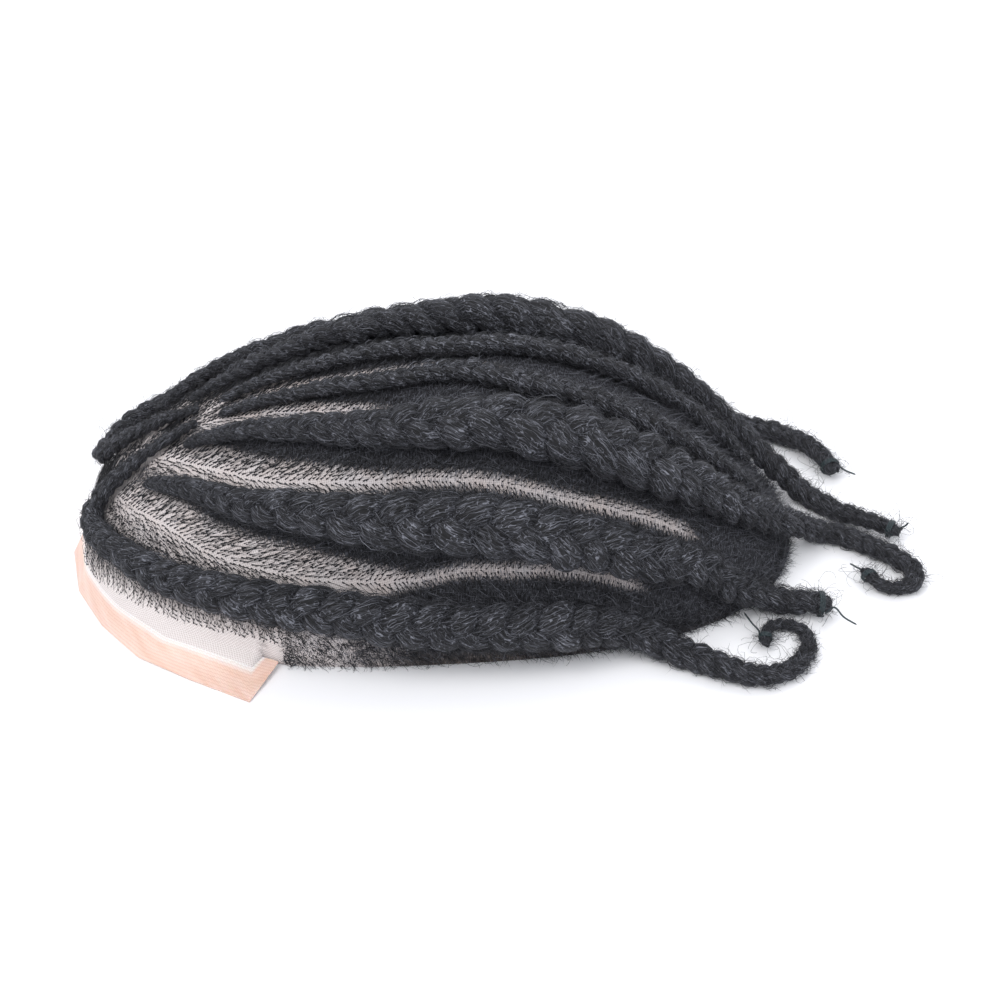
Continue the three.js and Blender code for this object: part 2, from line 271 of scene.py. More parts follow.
# Strands of a plait, as shares of the braid's width
SHORTEST_LOBE = 3.2  # millimetres
STRAND_SWING = 0.235
STRAND_RISE = 0.13
STRAND_WIDE = 0.26
STRAND_HIGH = 0.245
STRAND_PLUMP = 0.1  # of the strand's own size, where it lies on top
BLUNT_END = 0.02  # of the rounding, so that an end keeps a little width
TUBE_SIDES = 10
WELD = 1e-6  # metres

# Partings: half the width of the bare lace in millimetres, places on the flat chart
PARTING_STEP = 1.0
PARTING_STEPS = 30  # of the smooth line, for each row of a parting
BARE_NARROW_AT = -0.2
BARE_BROAD_AT = -0.5
BARE_IN_FRONT = 8.0
BARE_MIDDLE = 2.2
BARE_BEHIND = {"second_third": 1.6, "outer_second": 1.4}
BARE_CLOSING = 16
BARE_CLOSED = 5.0
FORWARD = 0.25  # ahead of the crown on the chart, where hair and lace change over as far again
FEET_STEP = 4  # every fourth place of a braid is near enough to measure from
POINTS_AT_ONCE = 1500

# Hairs: steps are places along a hair, kinks are the size of its zigzag and of its drift.
# A pair of numbers is the range of an even spread, and ALONG pairs are a mean and a spread.
HAIR_SIDES = 3
FLOOR_GAP = 0.03
HAIR_REST = 0.12  # between the lace and a hair that lies on it
STEEP = 0.9
KNOT_STEPS = np.array([0.0, 0.16, 0.55, 1.0])
EVEN_STEPS = np.linspace(0, 1, 3)
NOISE_WINDOW = 9  # rows over which a slow change is smoothed
FRIZZ_BELOW = 0.35  # radians past a strand's sides where fibres still grow
DEEP_INSIDE = 0.4  # square of the share of the way out, under which a fibre is hidden
BACK_FUZZ = 1.3
LYING_PLACES = 4
LYING_REACH = (3.5, 8)
LYING_NARROW = 0.45
LYING_BACKWARDS = 0.35
LYING_WANDER = 0.26
LYING_LIFT = (0.1, 1.1)
LYING_UNEVEN = (0, 0.25)
LYING_KINKS = (0.2, 0.08)
STANDING_PLACES = 3
STANDING_ROOT = 0.95  # share of the way out of the strand
STANDING_ALONG = (0.5, 0.7)
STANDING_OUT = (0.3, 1.0)
STANDING_SHORTEST = 1.3
STANDING_LONGER = 3.6
STANDING_LONGER_BEHIND = 0.4
STANDING_BEND = (0.6, 1.4)
STANDING_STRAIGHT = 0.8
STANDING_BOW = 0.35
STANDING_KINKS = (0.14, 0.12)

# Tones of the hairs: two powers of a beta distribution, and a larger second one is darker
# A lighter tone is a painted highlight on the hair
TONES = {
    "lying": (1.1, 1.7),
    "standing": (1.1, 2.6),
    "parting": (1.2, 5),
    "under": (1.1, 1.9),
    "front": (1.2, 5),
    "margin": (1.2, 2.4),
    "mat": (1.4, 1.4),
    "flyaway": (1.5, 4),
}

# Patterns of the finishes, in cells or waves a millimetre
CRIMP_PER_MM = 0.45
CRIMP_SHIFT = (1.6, 1.6, 0.0)  # millimetres that the crimp moves a fibre
FIBRES_PER_MM = 1.9  # real fibres are finer, and these are as fine as still shows
FIBRE_BENDS_PER_MM = 0.3
LOOPS_PER_MM = 0.55
NET_PER_MM = 1.5  # the real net has about twice as many cells, too fine to show
TAPE_NET_PER_MM = 0.9  # coarser than the real net too, for the same reason
LACE_PATCHES_PER_MM = 0.12
TAPE_CLOUDS_PER_MM = 0.15
STREAKS_PER_MM = (0.55, 2.3, 1.0)
PLY_PER_MM = 0.55
RAGGED = 9.0
COVER_FROM = -0.6
COVER_TO = 2.0
BLACK = "#0c0c0e"
SHEEN = "#8e9097"
BY_COLOUR = {"data_type": "RGBA"}
MULTIPLIED = {"data_type": "RGBA", "blend_type": "MULTIPLY"}
SMOOTHLY = {"interpolation_type": "SMOOTHSTEP"}

BRAIDS = {
    "outer_left": (OUTER_COURSE, OUTER_LEFT_TAIL, 1),
    "outer_right": (OUTER_COURSE, OUTER_RIGHT_TAIL, -1),
    "second_left": (SECOND_COURSE, SECOND_LEFT_TAIL, 1),
    "second_right": (SECOND_COURSE, SECOND_RIGHT_TAIL, -1),
    "third_left": (THIRD_COURSE, THIRD_LEFT_TAIL, 1),
    "third_right": (THIRD_COURSE, THIRD_RIGHT_TAIL, -1),
    "centre_left": (CENTRE_COURSE, [], 1),
    "centre_right": (CENTRE_COURSE, [], -1),
}

# The part stands on the middle of its own box, so the crown is off the origin. The lace is
# the same on both sides and its back edge is the dome's own, which gives where the crown is.
LACE_LOW, LACE_HIGH = (np.array(corner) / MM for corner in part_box("lace_base"))
CROWN_PLACE = np.array([
    (LACE_LOW[0] + LACE_HIGH[0]) / 2,
    LACE_HIGH[1] - BACK_REACH - LACE_WALL,
    0.0,
])


# The dome

def unit(vectors):
    """Vectors of length one."""
    return vectors / np.maximum(np.linalg.norm(vectors, axis=-1, keepdims=True), 1e-9)


def mix(start, end, share):
    """The value at a share of the way from start to end."""
    return start + (end - start) * share


def edge_reach(angle):
    """How far the dome's edge is from the crown, seen from above."""
    ahead = np.cos(angle)
    reach = np.where(ahead > 0, FRONT_REACH, BACK_REACH)
    sideways = np.abs(np.sin(angle)) / HALF_WIDTH
    lengthways = np.abs(ahead) / reach
    return (sideways**OUTLINE_POWER + lengthways**OUTLINE_POWER) ** (-1 / OUTLINE_POWER)


def slope_shape(angle):
    """The power and the root of the dome's slope at an angle from straight ahead."""
    behind = np.maximum(0, -np.cos(angle)) ** 2
    return mix(SIDE_POWER, BACK_POWER, behind), mix(SIDE_ROOT, BACK_ROOT, behind)


def dome_point(across, along):
    """Points of the dome's inner skin from their places on the flat chart."""
    across, along = np.broadcast_arrays(np.asarray(across, float), np.asarray(along, float))
    angle = np.arctan2(across, -along)
    power, root = slope_shape(angle)
    out = np.sin(np.minimum(np.hypot(across, along), 1) * np.pi / 2)
    plan = edge_reach(angle) * out
    height = CROWN_HEIGHT * np.maximum(0, 1 - out**power) ** root
    return np.stack([plan * np.sin(angle), -plan * np.cos(angle), height], axis=-1)


def dome_normal(across, along):
    """The dome's outward directions."""
    across, along = np.broadcast_arrays(np.asarray(across, float), np.asarray(along, float))
    distance = np.hypot(across, along)
    inside = SMOOTH_LIMIT / np.maximum(distance, SMOOTH_LIMIT)
    across, along = across * inside, along * inside
    step = SMALL_STEP
    sideways = dome_point(across + step, along) - dome_point(across - step, along)
    lengthways = dome_point(across, along + step) - dome_point(across, along - step)
    normal = unit(np.cross(sideways, lengthways))
    return np.where(normal[..., 2:] < 0, -normal, normal)


def chart_place(points):
    """The places on the flat chart below points on or near the dome."""
    angle = np.arctan2(points[..., 0], -points[..., 1])
    out = np.hypot(points[..., 0], points[..., 1]) / edge_reach(angle)
    root = slope_shape(angle)[1]
    height = np.maximum(points[..., 2], 0) / CROWN_HEIGHT
    distance = np.arctan2(out, height ** (1 / (2 * root))) * 2 / np.pi
    return distance * np.sin(angle), -distance * np.cos(angle)


def hairline(angle):
    """How far out on the chart the hairline is."""
    return mix(HAIRLINE_FRONT, MARGIN_SHARE, np.clip(np.abs(angle) / TAPE_END_ANGLE, 0, 1))


def front_sheet(turn, out):
    """Points of the sheet between the hairline, out 0, and the tape's outer edge, out 1."""
    turn, out = np.broadcast_arrays(np.asarray(turn, float), np.asarray(out, float))
    angle = turn * TAPE_END_ANGLE
    distance = hairline(angle)
    start = dome_point(distance * np.sin(angle), -distance * np.cos(angle))
    side = np.interp(np.abs(turn), TAPE_OUTLINE[:, 0], TAPE_OUTLINE[:, 1])
    ahead = np.interp(np.abs(turn), TAPE_OUTLINE[:, 0], TAPE_OUTLINE[:, 2])
    end = np.stack(
        [np.sign(turn) * side * HALF_WIDTH, -ahead * FRONT_REACH, np.zeros_like(side)], axis=-1
    )
    return mix(start, end, out[..., None])


def front_normal(turn, out):
    """The front sheet's outward directions."""
    step = SMALL_STEP
    turn = np.clip(turn, step - 1, 1 - step)
    out = np.clip(out, step, 1 - step)
    sideways = front_sheet(turn + step, out) - front_sheet(turn - step, out)
    lengthways = front_sheet(turn, out + step) - front_sheet(turn, out - step)
    normal = unit(np.cross(sideways, lengthways))
    return np.where(normal[..., 2:] < 0, -normal, normal)


def sheet_length(turn):
    """Length of the front sheet from the hairline to its outer edge."""
    return np.linalg.norm(front_sheet(turn, 1.0) - front_sheet(turn, 0.0), axis=-1)


def tape_inner(turn):
    """Where the tape's inner edge lies on the front sheet."""
    return 1 - TAPE_WIDTH / sheet_length(turn)


END_STEP = 0.2
END_SPREAD = np.linalg.norm(front_sheet(1.0, 0.5) - front_sheet(1 - END_STEP, 0.5)) / END_STEP
TAPE_END_TURN = 1 - TAPE_END_WIDTH / END_SPREAD
LACE_END_TURN = TAPE_END_TURN - (LACE_WALL + CLEARANCE) / END_SPREAD


# Lines that the hair follows

def smooth_line(points, steps):
    """A smooth curve through points, and each of its points' place among the rows."""
    points = np.asarray(points, float)
    rows = np.vstack([2 * points[0] - points[1], points, 2 * points[-1] - points[-2]])
    share = np.linspace(0, 1, steps, endpoint=False)[:, None]
    pieces = []
    for index in range(len(points) - 1):
        before, start, end, after = rows[index:index + 4]
        first = np.linalg.norm(start - before) ** 0.5
        middle = np.linalg.norm(end - start) ** 0.5
        last = np.linalg.norm(after - end) ** 0.5
        leave = (start - before) / first - (end - before) / (first + middle)
        leave = (leave + (end - start) / middle) * middle
        arrive = (end - start) / middle - (after - start) / (middle + last)
        arrive = (arrive + (after - end) / last) * middle
        square = 3 * (end - start) - 2 * leave - arrive
        cube = 2 * (start - end) + leave + arrive
        pieces.append(start + leave * share + square * share**2 + cube * share**3)
    curve = np.vstack(pieces + [points[-1:]])
    return curve, np.linspace(0, len(points) - 1, len(curve))


def distance_along(points, axis=0):
    """The distance along lines of points, from 0 at each line's first point."""
    gaps = np.linalg.norm(np.diff(points, axis=axis), axis=-1)
    start = np.zeros_like(np.take(gaps, [0], axis=axis))
    return np.concatenate([start, np.cumsum(gaps, axis=axis)], axis=axis)


def even_steps(curve, values, spacing):
    """The same curve and values at an even spacing, with the distance along it."""
    run = distance_along(curve)
    along = np.linspace(0, run[-1], max(int(run[-1] / spacing), 2) + 1)
    rows = [np.interp(along, run, column) for column in np.column_stack([curve, values]).T]
    table = np.array(rows).T
    return along, table[:, :3], table[:, 3:]


class BraidLine:
    """The middle of one braid with its directions and its width, every half millimetre."""

    SPACING = 0.5

    def __init__(self, course, tail, side):
        points, ups, widths = [], [], []
        for across, along, share in course:
            width = share * BRAID_WIDTH
            up = dome_normal(side * across, along)
            lift = LACE_WALL + BRAID_CLEARANCE + width * BRAID_FLATNESS / 2
            points.append(dome_point(side * across, along) + up * lift)
            ups.append(up)
            widths.append(width)
        for index, (x, y, share) in enumerate(tail):
            width = share * BRAID_WIDTH
            tied = index >= len(tail) - TIED_ROWS
            room = 2 * TIE_WALL + TIE_CLEARANCE if tied else 0
            lift = width * BRAID_FLATNESS / 2 + room
            points.append(np.array([x * HALF_WIDTH, y * BACK_REACH, lift]))
            ups.append(np.array([0.0, 0.0, 1.0]))
            widths.append(width)
        curve, place = smooth_line(points, COURSE_STEPS)
        rows = np.arange(len(points))
        values = [np.interp(place, rows, column) for column in np.array(ups).T]
        values.append(np.interp(place, rows, widths))
        self.along, middle, table = even_steps(curve, np.array(values).T, self.SPACING)
        self.length = self.along[-1]
        self.width = table[:, 3]
        middle[:, 2] = np.maximum(middle[:, 2], self.width * BRAID_FLATNESS / 2)
        self.middle = middle
        self.tangent = unit(np.gradient(middle, axis=0))
        self.sideways = unit(np.cross(self.tangent, table[:, :3]))
        self.up = np.cross(self.sideways, self.tangent)


# Colours, materials and pieces

def linear(code):
    """A linear colour with alpha from an sRGB hex code."""
    channels = [int(code[index:index + 2], 16) / 255 for index in (1, 3, 5)]
    bent = [c / 12.92 if c <= 0.04045 else ((c + 0.055) / 1.055) ** 2.4 for c in channels]
    return (*bent, 1.0)


def add_node(tree, kind, settings=None, stops=(), **inputs):
    """Adds a node. An input is given by its name with _ for a space, as a value or a socket.

    The stops are a colour ramp's (place, sRGB hex) pairs.
    """
    node = tree.nodes.new(kind)
    for name, value in (settings or {}).items():
        setattr(node, name, value)
    for name, value in inputs.items():
        key = int(name[1:]) if name[1:].isdigit() else name.replace("_", " ")
        socket = node.inputs[key]
        if isinstance(value, bpy.types.NodeSocket):
            tree.links.new(value, socket)
        else:
            socket.default_value = value
    if stops:
        elements = node.color_ramp.elements
        while len(elements) < len(stops):
            elements.new(0.5)
        for element, (place, code) in zip(elements, stops):
            element.position = place
            element.color = linear(code)
    return node


def new_material(name):
    """An empty node material, with its tree."""
    material = bpy.data.materials.new(name)
    material.use_nodes = True
    material.node_tree.nodes.clear()
    return material, material.node_tree


def finish_material(material, tree, shader):
    """Joins the shader to the material's output."""
    add_node(tree, "ShaderNodeOutputMaterial", Surface=shader.outputs[0])
    return material


def place_mesh(name, mesh, material, replaced=()):
    """Puts a finished mesh in the scene as a piece of the toupee."""
    mesh.materials.append(material)
    piece = bpy.data.objects.new(name, mesh)
    bpy.context.scene.collection.objects.link(piece)
    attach(piece, "root")
    if replaced:
        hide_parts(*replaced)
    return piece


def bmesh_to_mesh(bm, name):
    """Turns a bmesh into a smooth shaded mesh and frees it."""
    mesh = bpy.data.meshes.new(name)
    bm.to_mesh(mesh)
    bm.free()
    mesh.polygons.foreach_set("use_smooth", [True] * len(mesh.polygons))
    return mesh


def in_part(points):
    """Metres in the part's frame, from millimetres round the crown."""
    return (np.asarray(points) + CROWN_PLACE) * MM


def new_bmesh():
    """An empty bmesh and its UV layer."""
    bm = bmesh.new()
    return bm, bm.loops.layers.uv.new("UVMap")


def add_grid(bm, uv_layer, points, uvs):
    """Adds a grid of vertices at points, an array of columns by rows, with uvs in millimetres."""
    columns, rows = points.shape[:2]
    made = bmesh.ops.create_grid(bm, x_segments=columns - 1, y_segments=rows - 1, size=1)
    placed = in_part(points)
    for vertex in made["verts"]:
        column = round((vertex.co.x + 1) / 2 * (columns - 1))
        row = round((vertex.co.y + 1) / 2 * (rows - 1))
        vertex.co = placed[column, row]
        for loop in vertex.link_loops:
            loop[uv_layer].uv = uvs[column, row]
    return made["verts"]


def add_tube(bm, uv_layer, middle, across, upward):
    """Adds an open tube: its middle, and its two half widths as vectors, for each ring."""
    turn = np.linspace(0, 2 * np.pi, TUBE_SIDES + 1) - np.pi / 2
    rings = (
        middle[:, None]
        + across[:, None] * np.cos(turn)[None, :, None]
        + upward[:, None] * np.sin(turn)[None, :, None]
    )
    run = distance_along(middle)
    girth = np.linalg.norm(across, axis=1).max() * 2 * np.pi
    uvs = np.stack(np.broadcast_arrays((turn + np.pi / 2) / (2 * np.pi) * girth, run[:, None]), -1)
    verts = add_grid(bm, uv_layer, rings, uvs)
    bmesh.ops.remove_doubles(bm, verts=verts, dist=WELD)


def close_and_turn(bm):
    """Closes the open ends and points all faces outwards."""
    open_edges = [edge for edge in bm.edges if edge.is_boundary]
    bmesh.ops.holes_fill(bm, edges=open_edges, sides=0)
    bmesh.ops.recalc_face_normals(bm, faces=bm.faces)


def place_sheet(bm, name, material, replaced, thickness):
    """Puts an open sheet in the scene, faces up, with a wall below it whose edges are crisp."""
    bmesh.ops.recalc_face_normals(bm, faces=bm.faces)
    if sum(face.normal.z * face.calc_area() for face in bm.faces) < 0:
        bmesh.ops.reverse_faces(bm, faces=bm.faces)
    for edge in bm.edges:
        if edge.is_boundary:
            edge.smooth = False
    piece = place_mesh(name, bmesh_to_mesh(bm, name), material, [replaced])
    wall = piece.modifiers.new("wall", "SOLIDIFY")
    wall.thickness = thickness * MM
    wall.offset = -1
    return piece.data


def store(mesh, name, values):
    """Keeps a value of each vertex as an attribute that a finish reads."""
    layer = mesh.attributes.new(name, "FLOAT", "POINT")
    layer.data.foreach_set("value", values.astype(np.float32))


def square_to(tangent):
    """Two directions square to each tangent and to each other."""
    steep = np.abs(tangent[..., 2:]) > STEEP
    helper = np.where(steep, [1.0, 0.0, 0.0], [0.0, 0.0, 1.0])
    first = unit(np.cross(tangent, helper))
    return first, np.cross(tangent, first)


def hair_mesh(name, points, radii, tones):
    """One mesh of many tapered hairs: points is hairs by places by 3, radii is hairs by places.

    Each hair has a section of three sides, a flat root and a pointed tip, so it is closed.
    The tones, one a hair, are kept as an attribute that the hair's colour reads.
    """
    hairs, places = points.shape[:2]
    points = points.copy()
    points[..., 2] = np.maximum(points[..., 2], radii + FLOOR_GAP)
    first, second = square_to(unit(np.gradient(points, axis=1)))
    turn = np.arange(HAIR_SIDES) * 2 * np.pi / HAIR_SIDES
    rings = points[:, :-1, None] + radii[:, :-1, None, None] * (
        first[:, :-1, None] * np.cos(turn)[:, None] + second[:, :-1, None] * np.sin(turn)[:, None]
    )
    body = rings.reshape(hairs, -1, 3)
    verts = np.concatenate([body, points[:, -1:]], axis=1)
    per_hair = verts.shape[1]
    faces = [[0, 2, 1]]
    for ring in range(places - 2):
        for side in range(HAIR_SIDES):
            a = ring * HAIR_SIDES + side
            b = ring * HAIR_SIDES + (side + 1) % HAIR_SIDES
            faces += [[a, b, b + HAIR_SIDES], [a, b + HAIR_SIDES, a + HAIR_SIDES]]
    last = (places - 2) * HAIR_SIDES
    tip = per_hair - 1
    faces += [[last + side, last + (side + 1) % HAIR_SIDES, tip] for side in range(HAIR_SIDES)]
    starts = np.arange(hairs)[:, None, None] * per_hair
    all_faces = (np.array(faces)[None] + starts).reshape(-1, 3)
    mesh = bpy.data.meshes.new(name)
    mesh.from_pydata(in_part(verts).reshape(-1, 3), [], all_faces)
    mesh.update()
    store(mesh, "tone", np.repeat(tones, per_hair))
    mesh.polygons.foreach_set("use_smooth", [True] * len(mesh.polygons))
    return mesh


def place_hair(name, points, radii, tones, material):
    """Puts one mesh of many hairs in the scene."""
    place_mesh(name, hair_mesh(name, points, radii, tones), material)


def kinks(rng, hairs, places, size, drift):
    """Sideways wanderings of crimped hairs: a zigzag of a given size and a slow drift."""
    zigzag = rng.normal(0, size, (hairs, places, 3))
    slow = np.cumsum(rng.normal(0, drift, (hairs, places, 3)), axis=1)
    both = zigzag + slow
    return both - both[:, :1]


def taper(hairs, places, root, shaft):
    """Radii of hairs with a knot at the root and an even shaft, one size or one for each hair."""
    radii = np.ones((hairs, places)) * np.reshape(shaft, (-1, 1))
    radii[:, 0] = root
    radii[:, -1] /= 4
    return radii


# Finishes

def kinky_hair(colours):
    """Kinky synthetic hair, plaited: soft and matt, with crimped fibres given painted highlights."""
    material, tree = new_material("kinky plaited hair")
    uv = add_node(tree, "ShaderNodeTexCoord").outputs["UV"]
    crimp = add_node(tree, "ShaderNodeTexNoise", Vector=uv, Scale=CRIMP_PER_MM, Detail=2.0)
    bent = add_node(
        tree, "ShaderNodeVectorMath", {"operation": "MULTIPLY_ADD"},
        _0=crimp.outputs["Color"], _1=CRIMP_SHIFT, _2=uv,
    ).outputs["Vector"]
    stretched = add_node(
        tree, "ShaderNodeMapping", Vector=bent, Scale=(FIBRES_PER_MM, FIBRE_BENDS_PER_MM, 1.0)
    ).outputs["Vector"]
    fibres = add_node(
        tree, "ShaderNodeTexNoise", Vector=stretched, Scale=1.0, Detail=3.0, Roughness=0.7
    ).outputs["Fac"]
    loops = add_node(
        tree, "ShaderNodeTexNoise", Vector=bent, Scale=LOOPS_PER_MM, Detail=1.0
    ).outputs["Fac"]
    from_loop = add_node(
        tree, "ShaderNodeMath", {"operation": "SUBTRACT"}, _0=loops, _1=0.5
    ).outputs[0]
    apart = add_node(
        tree, "ShaderNodeMath", {"operation": "ABSOLUTE"}, _0=from_loop
    ).outputs[0]
    curly = add_node(
        tree, "ShaderNodeMapRange", SMOOTHLY,
        Value=apart, From_Min=0.0, From_Max=0.03, To_Min=0.22, To_Max=0.0,
    ).outputs["Result"]
    height = add_node(
        tree, "ShaderNodeMath", {"operation": "ADD"}, _0=fibres, _1=curly
    ).outputs[0]
    # The ramp's paler end paints highlights on the fibres, spread by the noise rather than by the
    # light
    colour = add_node(
        tree, "ShaderNodeValToRGB", Fac=height,
        stops=[(0.38, BLACK), (0.5, colours.hair_dark), (0.6, "#46474d"), (0.77, colours.painted_hair_highlight)],
    ).outputs["Color"]
    bump = add_node(
        tree, "ShaderNodeBump", Height=height, Strength=1.0, Distance=0.5 * MM
    ).outputs["Normal"]
    shader = add_node(
        tree, "ShaderNodeBsdfPrincipled",
        Base_Color=colour, Roughness=0.62, Normal=bump, Specular_IOR_Level=0.25,
        Sheen_Weight=0.15, Sheen_Roughness=0.45, Sheen_Tint=linear(SHEEN),
    )
    return finish_material(material, tree, shader)


def loose_fibre(colours):
    """Single fibres of the same hair: most are black and some carry a painted grey highlight."""
    name = "loose kinky fibre"
    if name in bpy.data.materials:
        return bpy.data.materials[name]
    material, tree = new_material(name)
    tone = add_node(
        tree, "ShaderNodeAttribute", {"attribute_name": "tone", "attribute_type": "GEOMETRY"}
    ).outputs["Fac"]
    # The paler tones are painted highlights on single fibres
    colour = add_node(
        tree, "ShaderNodeValToRGB", Fac=tone,
        stops=[
            (0.0, "#0b0b0d"), (0.25, colours.hair_dark), (0.55, "#434449"), (1.0, colours.painted_hair_highlight)
        ],
    ).outputs["Color"]
    shader = add_node(
        tree, "ShaderNodeBsdfPrincipled",
        Base_Color=colour, Roughness=0.5, Specular_IOR_Level=0.4,
        Sheen_Weight=0.2, Sheen_Tint=linear(SHEEN),
    )
    return finish_material(material, tree, shader)


def lace_net(colours):
    """Fine monofilament lace: a six-sided net, paler in front, dark where hair lies close."""
    material, tree = new_material("monofilament lace")
    uv = add_node(tree, "ShaderNodeTexCoord").outputs["UV"]
    stored = {
        name: add_node(
            tree, "ShaderNodeAttribute", {"attribute_name": name, "attribute_type": "GEOMETRY"}
        ).outputs["Fac"]
        for name in ("front", "covered", "rim")
    }
    cells = add_node(
        tree, "ShaderNodeTexVoronoi", {"feature": "DISTANCE_TO_EDGE"},
        Vector=uv, Scale=NET_PER_MM, Randomness=0.25,
    ).outputs["Distance"]
    net = add_node(
        tree, "ShaderNodeMapRange", SMOOTHLY, Value=cells, From_Min=0.04, From_Max=0.2
    ).outputs["Result"]
    patches = add_node(
        tree, "ShaderNodeTexNoise", Vector=uv, Scale=LACE_PATCHES_PER_MM, Detail=2.0
    ).outputs["Fac"]
    cloth = add_node(
        tree, "ShaderNodeValToRGB", Fac=patches,
        stops=[(0.35, colours.lace_grey), (0.65, colours.lace_pink)],
    ).outputs["Color"]
    ground = add_node(
        tree, "ShaderNodeMix", BY_COLOUR,
        _0=stored["front"], _6=cloth, _7=linear(colours.lace_white),
    ).outputs[2]
    holes = add_node(
        tree, "ShaderNodeValToRGB", Fac=net, stops=[(0.0, "#ffffff"), (1.0, "#dcd7d6")]
    ).outputs["Color"]
    thread = add_node(tree, "ShaderNodeMix", MULTIPLIED, _0=1.0, _6=ground, _7=holes).outputs[2]

    # Hair that lies close is drawn in streaks along the dome's slope, ragged where it ends
    drawn = add_node(tree, "ShaderNodeMapping", Vector=uv, Scale=STREAKS_PER_MM).outputs["Vector"]
    streaks = add_node(
        tree, "ShaderNodeTexNoise", Vector=drawn, Scale=1.0, Detail=3.0, Roughness=0.7
    ).outputs["Fac"]
    ragged = add_node(
        tree, "ShaderNodeMath", {"operation": "MULTIPLY_ADD"},
        _0=streaks, _1=RAGGED, _2=stored["covered"],
    ).outputs[0]
    hidden = add_node(
        tree, "ShaderNodeMapRange", SMOOTHLY,
        Value=ragged, From_Min=RAGGED / 2 + COVER_FROM, From_Max=RAGGED / 2 + COVER_TO,
    ).outputs["Result"]
    # Its paler streaks are painted highlights on the hair drawn on the lace
    hair = add_node(
        tree, "ShaderNodeValToRGB", Fac=streaks,
        stops=[(0.32, BLACK), (0.47, "#232327"), (0.58, "#47484e"), (0.72, "#7c7e87")],
    ).outputs["Color"]
    lace_through = add_node(
        tree, "ShaderNodeValToRGB", Fac=streaks,
        stops=[(0.38, "#1d1b1c"), (0.52, "#4f4946"), (0.68, "#968b86")],
    ).outputs["Color"]
    thin_hair = add_node(
        tree, "ShaderNodeMix", BY_COLOUR, _0=stored["rim"], _6=hair, _7=lace_through
    ).outputs[2]
    colour = add_node(
        tree, "ShaderNodeMix", BY_COLOUR, _0=hidden, _6=thread, _7=thin_hair
    ).outputs[2]
    bump = add_node(
        tree, "ShaderNodeBump", Height=net, Strength=0.5, Distance=-0.15 * MM
    ).outputs["Normal"]
    shader = add_node(
        tree, "ShaderNodeBsdfPrincipled",
        Base_Color=colour, Roughness=0.75, Normal=bump, Specular_IOR_Level=0.25,
    )
    return finish_material(material, tree, shader)


def coated_tape(colours):
    """Poly-coated edge tape: skin coloured, a little glossy, with the net showing through."""
    material, tree = new_material("poly-coated edge tape")
    uv = add_node(tree, "ShaderNodeTexCoord").outputs["UV"]
    cells = add_node(
        tree, "ShaderNodeTexVoronoi", {"feature": "DISTANCE_TO_EDGE"},
        Vector=uv, Scale=TAPE_NET_PER_MM, Randomness=0.2,
    ).outputs["Distance"]
    net = add_node(
        tree, "ShaderNodeMapRange", SMOOTHLY, Value=cells, From_Min=0.03, From_Max=0.18
    ).outputs["Result"]
    cloudy = add_node(
        tree, "ShaderNodeTexNoise", Vector=uv, Scale=TAPE_CLOUDS_PER_MM, Detail=3.0
    ).outputs["Fac"]
    ground = add_node(
        tree, "ShaderNodeValToRGB", Fac=cloudy,
        stops=[(0.3, colours.tape_deep), (0.7, colours.tape_pale)],
    ).outputs["Color"]
    # The coat thins out over the first millimetres from the inner edge
    place = add_node(tree, "ShaderNodeSeparateXYZ", Vector=uv).outputs["Y"]
    thin_coat = add_node(
        tree, "ShaderNodeMapRange", SMOOTHLY,
        Value=place, From_Min=0.5, From_Max=3.5, To_Min=1.0, To_Max=0.0,
    ).outputs["Result"]
    coated = add_node(
        tree, "ShaderNodeMix", BY_COLOUR, _0=thin_coat, _6=ground, _7=linear(colours.lace_white)
    ).outputs[2]
    threads = add_node(
        tree, "ShaderNodeValToRGB", Fac=net, stops=[(0.0, "#f0e6e1"), (1.0, "#ffffff")]
    ).outputs["Color"]
    colour = add_node(tree, "ShaderNodeMix", MULTIPLIED, _0=1.0, _6=coated, _7=threads).outputs[2]
    bump = add_node(
        tree, "ShaderNodeBump", Height=net, Strength=0.35, Distance=0.1 * MM
    ).outputs["Normal"]
    shader = add_node(
        tree, "ShaderNodeBsdfPrincipled",
        Base_Color=colour, Roughness=0.4, Normal=bump,
        Subsurface_Weight=0.15, Subsurface_Scale=1.5 * MM,
    )
    return finish_material(material, tree, shader)


def sewing_thread(colours):
    """Twisted polyester thread: a fine slanting ply, softly shiny."""
    material, tree = new_material("twisted polyester thread")
    uv = add_node(tree, "ShaderNodeTexCoord").outputs["UV"]
    slanted = add_node(
        tree, "ShaderNodeMapping", Vector=uv, Rotation=(0, 0, math.radians(35))
    ).outputs["Vector"]
    ply = add_node(
        tree, "ShaderNodeTexWave", Vector=slanted, Scale=PLY_PER_MM, Distortion=0.6
    ).outputs["Fac"]
    colour = add_node(
        tree, "ShaderNodeValToRGB", Fac=ply, stops=[(0.0, "#0d1f24"), (1.0, colours.thread)]
    ).outputs["Color"]
    bump = add_node(
        tree, "ShaderNodeBump", Height=ply, Strength=0.7, Distance=0.15 * MM
    ).outputs["Normal"]
    shader = add_node(
        tree, "ShaderNodeBsdfPrincipled",
        Base_Color=colour, Roughness=0.5, Normal=bump, Sheen_Weight=0.2,
    )
    return finish_material(material, tree, shader)


# Places of the hair

def surface_samples(chart, lead):
    """A parting on the dome: points, their direction towards the back, the dome's normals.

    It is led on in front by a number of millimetres.
    """
    chart = np.array(chart)
    rows = dome_point(chart[:, 0], chart[:, 1])
    curve, place = smooth_line(rows, PARTING_STEPS)
    points = even_steps(curve, place, PARTING_STEP)[1]
    ahead = points[0] + unit(points[0] - points[3]) * np.arange(lead, 0, -1)[:, None]
    points = np.vstack([ahead, points])
    across, along = chart_place(points)
    normals = dome_normal(across, along)
    return dome_point(across, along), unit(np.gradient(points, axis=0)), normals


